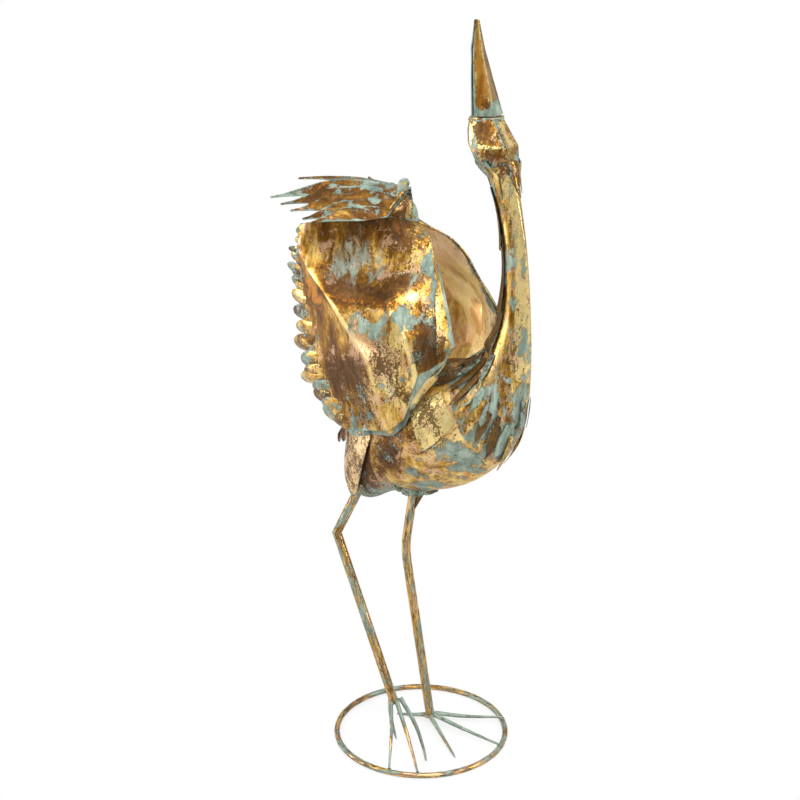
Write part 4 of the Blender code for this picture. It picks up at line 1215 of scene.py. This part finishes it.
# The hand: long feathers folded inwards over the back, on a twisted surface between a root line and an end line
HAND_ROOT_LOW = {RIGHT: Vector((0.049, 0.030, 0.951)), LEFT: Vector((0.049, 0.060, 0.943))}
HAND_ROOT_HIGH = {RIGHT: Vector((0.012, 0.020, 0.981)), LEFT: Vector((0.012, 0.046, 0.975))}
HAND_END_LOW = {RIGHT: Vector((0.103, 0.160, 0.934)), LEFT: Vector((0.086, 0.194, 0.962))}
HAND_END_HIGH = {RIGHT: Vector((0.036, 0.288, 0.942)), LEFT: Vector((0.036, 0.292, 0.9535))}
HAND_UP = Vector((0.35, 0.0, 0.94)).normalized()
HAND_FEATHERS = [(0.14, 0.13, 0.0150), (0.38, 0.45, 0.0140), (0.62, 0.72, 0.0140), (0.84, 1.00, 0.0130)]


def on_hand(side, out, rise_share, layer):
    root = HAND_ROOT_LOW[side].lerp(HAND_ROOT_HIGH[side], rise_share)
    end = HAND_END_LOW[side].lerp(HAND_END_HIGH[side], rise_share)
    return root.lerp(end, out) + HAND_UP * layer * LAYER_STEP


# How far each fan's feathers are rolled to show their faces
FEATHER_ROLL = {RIGHT: 0.40, LEFT: -0.30}


def feather(name, side, i, root_rise, end_rise, half_width, length, marks, tone_and_painted_light):
    def place(out, along):
        reach = (-0.01 if side == RIGHT else -0.05) * (1 - out) + length * out
        across = 2 * along - 1
        span = (on_hand(side, reach, 1, 0) - on_hand(side, reach, 0, 0)).length
        full = half_width * (0.95 + 0.35 * math.sin(math.pi * min(1.0, out * 1.1)))
        width = full * max(0.02, 1 - max(0.0, (out - 0.58) / 0.42) ** 1.25)
        sweep = -0.65 * (full - width)
        nick = 0.06 * width * noise.noise(Vector((out * 26, i * 5.0, across * 2)))
        where = root_rise + (end_rise - root_rise) * out + (across * (width + nick) + sweep) / span
        spot = on_hand(side, reach, where, 0)
        roll = FEATHER_ROLL[side] * float(rise(0.0, 0.4, out))
        lift = roll * (across * width + sweep) + 0.0030 * (1 - abs(across)) + 0.0012 * i
        arch = 0.010 * math.sin(math.pi * min(1, out)) * (0.4 + 0.2 * i)
        return on_side(spot + HAND_UP * (lift + arch), side)

    grid_piece(name, FEATHER_LEAF, place, (64, 14), (0.0004, 0.0002, 0.03, 0.01), marks, {"tone_and_painted_light": tone_and_painted_light},
               wall=THIN_SHEET, start=-1)


def feathers(side, word):
    narrow = 1.0 if side == RIGHT else 0.82
    for i, (root_rise, end_rise, half_width) in enumerate(HAND_FEATHERS):
        length = 0.80 if side == LEFT and i == 1 else 1.0
        feather(f"{word}_primary_{i + 1}", side, i, root_rise, end_rise, half_width * narrow, length, {
            "green": [(0.2, 0.20, 0.7, 0.08, 1.0 * (i % 2)), (0.3, 0.42 + 0.04 * i, 0.6, 0.06, 0.9)],
            "tone_and_painted_light": [(0.0, 0.3, 2.0, 0.2, -0.6)],
            "brown": [(0.0, 0.78, 1.5, 0.22, 0.3)],
        }, 1.5)
    feather(f"{word}_fold_feather", side, 0.5, 0.00, -0.09, 0.0105, 0.98, {}, 1.3)


def thumb(side, word):
    """The short rounded tab at the fold, standing up on the near wing and lying down on the far one."""
    stand = 1.0 if side == RIGHT else 0.2
    base = on_hand(side, 0.030 if side == RIGHT else 0.16, 0.66, 4) + Vector((-0.0030, -0.0035, 0.0020)) * stand

    def place(out, along):
        across = 2 * along - 1
        corner = max(0.0, (out - 0.62) / 0.38)
        half = (0.0048 + 0.0042 * float(rise(0.1, 0.75, out))) * math.sqrt(max(0.03, 1 - corner**2.6))
        rise_up = (-0.008 + 0.0300 * out) * stand
        spot = base + Vector((-0.20, -0.34, 1.0)) * rise_up + Vector((-0.46, -0.84, -0.24)) * across * half
        return on_side(spot + Vector((0.8, -0.5, 0.2)) * 0.0028 * (1 - across * across), side)

    grid_piece(f"{word}_thumb_feather", TONGUE_LEAF, place, (34, 18), (0.0003, 0.00015, 0.02, 0.006), {
        "green": [(0.1, 0.68, 0.45, 0.2, -1.6), (0, 0.1, 1, 0.15, -1.4)],
        "tone_and_painted_light": [(0.1, 0.68, 0.6, 0.3, -1.5)],
    }, {"green": 1.3, "brown": -0.6}, THIN_SHEET, -1)


def fold_rim(side, word):
    """The rolled strip down the fold from the tab to the top of the wing."""
    run = []
    for k in range(31):
        share = k / 30
        curl = Vector((0.2, 0.9, 0.1)) * 0.0020 * math.sin(math.pi * share)
        run.append(on_side(on_hand(side, -0.012 if side == RIGHT else 0.01, 0.90 - 0.94 * share, 3.6) + curl, side))
    radii = [0.0021 - 0.0011 * k / 30 + 0.0002 * math.sin(k) for k in range(31)]
    round_rod(f"{word}_fold_rim", run, radii, TONGUE_LEAF, 12, 0.0003)


def shoulder(side, word):
    """The plate that closes the front between the hand's root and the top of the wing."""
    near = side == RIGHT
    front_end = Vector((0.0060, 0.0060, 0.9325) if near else (0.0060, 0.0300, 0.9270))
    inner_end = HAND_ROOT_LOW[side] + Vector((0.0035, 0.0080, -0.0040))
    top = HAND_ROOT_HIGH[side] + Vector((0.0010, 0.0040, -0.0045) if near else (0.0040, 0.0290, -0.0200))

    def place(down, along):
        bulge = 0.0035 * math.sin(math.pi * along) * math.sin(math.pi * min(1, down))
        spot = top.lerp(inner_end.lerp(front_end, along), 0.03 + 0.97 * down)
        belly_out = (0.0062 if near else -0.004) * along**1.5 * math.sin(math.pi * min(1, down) ** 0.9)
        return on_side(spot + Vector((0.5, -0.85, 0.1)) * bulge + Vector((-0.574, -0.819, 0.0)) * belly_out, side)

    grid_piece(f"{word}_shoulder_plate", WING_LEAF, place, (34, 28), LIGHT_DENTS, {
        "green": [(0.92, 0.65, 0.32, 0.6, 2.0), (0.2, 0.6, 0.5, 0.5, -1.2)],
        "brown": [(0.2, 0.9, 0.3, 0.2, 1.2), (0.6, 0.2, 0.6, 0.2, 0.8)],
    })


def front_rim(side, word):
    """The rolled edge down the front of a wing."""
    run = []
    for k in range(60):
        down = FRONT_RIM_END * k / 59
        spot = on_wing(0.0, 0.02 + down)
        if side == LEFT:
            spot += FAR_SHIFT * float(far_share(0, down))
        run.append(on_side(spot + Vector((-0.0008, -0.0004, 0)), side))
    radii = [0.00115 + 0.0003 * math.sin(k * 0.9) for k in range(60)]
    round_rod(f"{word}_front_rim", run, radii, TONGUE_LEAF, 12, 0.0004)


def covert(side, word):
    def place(down, along):
        chord = (-0.12 if side == RIGHT else 0.02) + (0.02 + 0.46 * down) * along
        stand_off = 0.0040 if side == RIGHT else 0.0020
        return on_side(on_wing(chord, 2.05 + 2.6 * down) + Vector((0.60, -0.80, 0)) * stand_off, side)

    grid_piece(f"{word}_covert", WING_LEAF, place, (60, 20), LIGHT_DENTS, {
        "green": [(0.12, 0.4, 0.16, 0.6, 1.6), (0.8, 0.5, 0.4, 0.6, -1.0)],
        "brown": [(0.8, 0.95, 0.4, 0.14, 0.9)],
    })


# Legs, toes and the ground ring
RIGHT_HIP = Vector((-0.055, 0.081, 0.500))
RIGHT_HOCK = Vector((-0.055, 0.141, 0.374))
RIGHT_ANKLE = Vector((-0.062, 0.015, 0.085))
LEFT_HIP = Vector((0.050, 0.046, 0.475))
LEFT_HOCK = Vector((0.050, 0.070, 0.324))
LEFT_ANKLE = Vector((0.039, 0.006, 0.009))
RIGHT_BEND, LEFT_BEND = 0.005, 0.030
HIP_SINK = Vector((0.013, 0, 0))

# How far the streaks along a rod are drawn out: its length counts this much in their pattern
DRAWN_OUT = 0.22


def round_rod(name, spots, radii, finish, sides=28, wobble=0.0002):
    """A round rod or tube along smoothly changing points."""
    rings, courses = [], []
    normal = Vector((1, 0, 0))
    for k, spot in enumerate(spots):
        ahead, behind = spots[min(k + 1, len(spots) - 1)], spots[max(k - 1, 0)]
        way = (ahead - behind).normalized()
        normal = (normal - way * normal.dot(way)).normalized()
        side = way.cross(normal)
        ring = []
        for s in range(sides):
            turn = 2 * math.pi * s / sides
            out = normal * math.cos(turn) + side * math.sin(turn)
            rough = wobble * noise.noise((spot + out * 0.01) * 90)
            ring.append(spot + out * (radii[k] + rough))
            courses.append(spot * DRAWN_OUT + out * radii[k])
        rings.append(ring)
    closed_piece(name, np.array(rings, float), tube_faces(len(rings), sides), finish, courses=courses, crisp=50)


def even_run(points, step):
    """Points a step apart along straight runs."""
    run = []
    for start, stop in zip(points, points[1:]):
        count = max(1, round((stop - start).length / step))
        run += [start.lerp(stop, k / count) for k in range(count)]
    return run + [points[-1]]


def smooth_run(points, steps):
    ends = [2 * points[0] - points[1], *points, 2 * points[-1] - points[-2]]
    run = []
    for before, start, stop, after in zip(ends, ends[1:], ends[2:], ends[3:]):
        run += [through(before, start, stop, after, step / steps) for step in range(steps)]
    return run + [points[-1]]


def bent_at(hip, hock, ankle, reach):
    down = (ankle - hock).normalized()
    above = hock + (hip - hock).normalized() * reach
    below = hock + down * reach
    bend = [above.lerp(hock, share).lerp(hock.lerp(below, share), share) for share in np.linspace(0, 1, 12)[1:-1]]
    return [hip, above, *bend, below, below + down * LEG_TUBE / 4]


def tube_ring(spot, way, radius, count=26):
    """Points round a tube, for a weld."""
    side = way.orthogonal().normalized()
    other = way.normalized().cross(side)
    return [spot + (side * math.cos(t) + other * math.sin(t)) * radius
            for t in (2 * math.pi * k / count for k in range(count))]


def legs():
    tube = LEG_TUBE / 2
    hip = RIGHT_HIP + HIP_SINK
    thigh = bent_at(hip, RIGHT_HOCK, RIGHT_ANKLE, RIGHT_BEND)
    down = (RIGHT_ANKLE - RIGHT_HOCK).normalized()
    shank = [thigh[-1] + down * 0.0002, RIGHT_ANKLE]
    leg = bent_at(LEFT_HIP, LEFT_HOCK, LEFT_ANKLE, LEFT_BEND) + [LEFT_ANKLE]
    for name, points in (("right_thigh", thigh), ("right_shank", shank), ("left_leg", leg)):
        run = even_run(points, 0.004)
        round_rod(name, run, [tube] * len(run), LEG_LEAF)
    mitre = (down - (RIGHT_HIP - RIGHT_HOCK).normalized()).normalized()
    weld("hock_weld", tube_ring(RIGHT_HOCK, mitre, tube - 0.0003), 0.0009, 0.0012, 7, closed=True)
    right_seam = tube_ring(RIGHT_HOCK.lerp(hip, 0.76), hip - RIGHT_HOCK, tube + 0.0004)
    left_seam = tube_ring(LEFT_HOCK.lerp(LEFT_HIP, 0.93), LEFT_HIP - LEFT_HOCK, tube + 0.0006)
    weld("right_hip_weld", right_seam, 0.0014, 0.0019, 11, closed=True)
    weld("left_hip_weld", left_seam, 0.0018, 0.0022, 12, closed=True)


def on_ring(degrees):
    """Where a toe's tip lies on the ring, 0 being in front."""
    turn = math.radians(degrees)
    height = 2 * RING_LIFT + TOE_TIP + 0.0005
    return Vector((RING_RADIUS * math.sin(turn), -RING_RADIUS * math.cos(turn), height))


def beside(hock, ankle, across, along, clear):
    """A toe's root at the side of a leg, clear of its tube."""
    up = (hock - ankle).normalized()
    out = Vector((across, along, 0))
    out = (out - up * out.dot(up)).normalized()
    return ankle + up * TOE_ROD / 2 + out * (LEG_TUBE / 2 + 0.0005 + clear)


def toe(name, points, ends_on_ring):
    run = smooth_run(points, 14)
    thick = TOE_ROD / 2
    radii = [thick + (TOE_TIP - thick) * k / (len(run) - 1) for k in range(len(run))]
    if not ends_on_ring:
        for k, share in enumerate((0.45, 0.75, 0.9, 0.97), 1):
            radii[-k] *= share
    round_rod(name, run, radii, TOE_LEAF, 20, 0.0003)


def toes():
    on_ground = TOE_TIP + 0.0005
    foot, clear = (RIGHT_HOCK, RIGHT_ANKLE), TOE_ROD / 2
    raised = {
        "right_toe_1": [beside(*foot, -1, -0.3, clear), Vector((-0.100, -0.006, 0.052)), on_ring(-77)],
        "right_toe_2": [beside(*foot, -0.5, -1, clear), Vector((-0.089, -0.034, 0.042)), on_ring(-58)],
        "right_toe_3": [beside(*foot, 0.5, -1, clear), Vector((-0.058, -0.026, 0.054)),
                        Vector((-0.066, -0.049, 0.020)), Vector((-0.078, -0.064, on_ground))],
        "right_hind_toe": [beside(*foot, 0.5, 1, clear), Vector((-0.053, 0.029, 0.050)),
                           Vector((-0.050, 0.019, on_ground))],
    }
    foot, clear = (LEFT_HOCK, LEFT_ANKLE), 0.001
    flat = {
        "left_toe_1": [beside(*foot, 1, -0.6, clear), Vector((0.075, -0.046, 0.010)), on_ring(46)],
        "left_toe_2": [beside(*foot, 0.1, -1, clear), Vector((0.036, -0.070, 0.010)), on_ring(10)],
        "left_toe_3": [beside(*foot, -1, -0.8, clear), Vector((0.000, -0.045, 0.007)),
                       Vector((-0.040, -0.099, on_ground))],
        "left_hind_toe": [beside(*foot, -0.3, 1, clear), Vector((0.030, 0.038, 0.007)),
                          Vector((0.022, 0.068, on_ground))],
    }
    on_the_ring = ("right_toe_1", "right_toe_2", "left_toe_1", "left_toe_2")
    for number, (name, points) in enumerate({**raised, **flat}.items()):
        toe(name, points, name in on_the_ring)
        if name in on_the_ring:
            end = points[-1] - Vector((0, 0, 0.002))
            weld(f"{name}_weld", tube_ring(end, Vector((0, 0, 1)), 0.0026, 9), 0.0014, 0.0018, number, closed=True)
    right_seam = tube_ring(RIGHT_ANKLE, RIGHT_HOCK - RIGHT_ANKLE, 0.0095)
    left_seam = tube_ring(LEFT_ANKLE + Vector((0, 0, 0.004)), LEFT_HOCK - LEFT_ANKLE, 0.0092)
    weld("right_foot_weld", right_seam, 0.0026, 0.0032, 21, closed=True)
    weld("left_foot_weld", left_seam, 0.0026, 0.0032, 22, closed=True)


def ring():
    rod, sides, count = RING_ROD / 2, 28, 300
    points, courses = [], []
    for k in range(count):
        turn = 2 * math.pi * k / count
        out = Vector((math.cos(turn), math.sin(turn), 0))
        spot = out * RING_RADIUS + Vector((0, 0, rod))
        row = []
        for s in range(sides):
            lean = 2 * math.pi * s / sides
            way = out * math.cos(lean) + Vector((0, 0, math.sin(lean)))
            row.append(spot + way * (rod * 0.955 + 0.0002 * noise.noise((spot + way * 0.01) * 80)))
            courses.append(spot * DRAWN_OUT + way * rod)
        points.append(row)
    faces = []
    for k in range(count):
        for s in range(sides):
            n, t = (k + 1) % count, (s + 1) % sides
            faces.append((k * sides + s, n * sides + s, n * sides + t, k * sides + t))
    closed_piece("base_ring", np.array(points, float), faces, RING_LEAF, courses=courses)


def gusset():
    """The dark three-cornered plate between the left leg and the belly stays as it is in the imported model."""
    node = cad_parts["left_gusset"]
    node.data.materials.clear()
    node.data.materials.append(DARK_STEEL)


# Floor, light and camera


def floor_paper():
    """Matt white paper that shows only a trace of shadow near the statue and fades to plain white away from it."""
    paper = bpy.data.materials.new("floor_paper")
    paper.use_nodes = True
    make = Nodes(paper.node_tree)
    shader = paper.node_tree.nodes["Principled BSDF"]
    shader.inputs["Roughness"].default_value = 0.9
    away = make.add("ShaderNodeVectorMath", {0: make.add("ShaderNodeTexCoord").outputs["Object"]}, operation="LENGTH")
    seen = make.add("ShaderNodeLightPath").outputs["Is Camera Ray"]
    make.feed(shader.inputs["Base Color"], make.blend(seen, (0.62, 0.61, 0.60, 1), (0.85, 0.85, 0.845, 1)))
    fade = make.sums("MULTIPLY", seen, make.step(away.outputs["Value"], 0.12, 0.42, 0.72, 1.0))
    white = make.add("ShaderNodeEmission", {"Color": (1, 1, 1, 1)})
    mix = make.add("ShaderNodeMixShader", {0: fade, 1: shader.outputs[0], 2: white.outputs[0]})
    make.feed(paper.node_tree.nodes["Material Output"].inputs["Surface"], mix.outputs[0])
    return paper


def studio():
    bpy.ops.mesh.primitive_plane_add(size=60, location=(0, 0, -0.0002))
    floor = bpy.context.object
    floor.name = "studio_floor"
    floor.data.materials.append(floor_paper())

    def soft_box(name, spot, aim, size, power):
        light = bpy.data.lights.new(name, "AREA")
        light.shape = "RECTANGLE"
        light.size, light.size_y = size
        light.energy = power
        lamp = bpy.data.objects.new(name, light)
        bpy.context.scene.collection.objects.link(lamp)
        lamp.location = Vector(spot)
        lamp.rotation_euler = (Vector(aim) - Vector(spot)).to_track_quat("-Z", "Y").to_euler()

    soft_box("overhead", (-0.5, -0.5, 3.0), (0, 0, 0.7), (1.8, 1.8), 35)
    soft_box("camera_left", (-2.6, 1.9, 1.5), (0, 0, 0.7), (1.0, 2.2), 34)
    soft_box("front_fill", (-1.9, -2.1, 2.2), (0, 0, 0.8), (1.5, 1.5), 20)
    soft_box("low_left", (-1.1, 2.7, 0.55), (0, 0, 0.6), (1.6, 0.9), 22)
    soft_box("camera_right", (0.6, -2.9, 1.9), (0, 0, 0.8), (0.8, 2.0), 33)

    world = bpy.data.worlds.new("studio_room")
    bpy.context.scene.world = world
    world.use_nodes = True
    make = Nodes(world.node_tree)
    back = world.node_tree.nodes["Background"]
    seen = make.add("ShaderNodeLightPath").outputs["Is Camera Ray"]
    height = make.add("ShaderNodeSeparateXYZ", {0: make.add("ShaderNodeTexCoord").outputs["Generated"]})
    greys = [(0.0, (0.20, 0.19, 0.18, 1)), (0.40, (0.46, 0.46, 0.45, 1)), (1.0, (0.95, 0.96, 0.97, 1))]
    room = make.ramp(make.step(height.outputs["Z"], -0.2, 0.9), greys)
    make.feed(back.inputs["Color"], make.blend(seen, room, (1, 1, 1, 1)))
    back.inputs["Strength"].default_value = 1.0
    bpy.context.scene.view_settings.view_transform = "Standard"


def camera():
    lens = bpy.data.cameras.new("photo_camera")
    lens.sensor_fit = "HORIZONTAL"
    lens.angle = math.radians(CAMERA_ANGLE)
    lens.clip_end = 50
    view = bpy.data.objects.new("photo_camera", lens)
    bpy.context.scene.collection.objects.link(view)
    drop, turn = math.radians(CAMERA_DROP), math.radians(CAMERA_TURN)
    right = Vector((math.cos(turn), math.sin(turn), 0))
    toward = Vector((math.sin(turn), -math.cos(turn), 0))
    ahead = -toward * math.cos(drop) + Vector((0, 0, -math.sin(drop)))
    up = right.cross(ahead)
    spot = CAMERA_SPOT + RING_CENTRE
    view.matrix_world = Matrix.Translation(spot) @ Matrix((right, up, -ahead)).transposed().to_4x4()
    bpy.context.scene.camera = view


camera()
studio()
ring()
legs()
toes()
gusset()
body()
head()
cheek_tongues()
bill()
nape()
saddle()
belly_flange()
tail(tree_of(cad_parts["rump_shell"].data))
round_blade = tongue_blade(rounded_tip, 0.10, -0.03)
sharp_blade = tongue_blade(pointed_tip, 0.08, 0.0)
belly_tree = tree_of(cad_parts["belly_shell"].data)
for side, word in SIDES:
    for build in (rump_plate, side_plate, collars, wing_plate):
        build(side, word)
    wing_lining(side, word, belly_tree)
    scallops(side, word, round_blade, sharp_blade)
    for build in (feathers, thumb, fold_rim, shoulder, front_rim, covert):
        build(side, word)
bpy.data.objects.remove(round_blade)
bpy.data.objects.remove(sharp_blade)
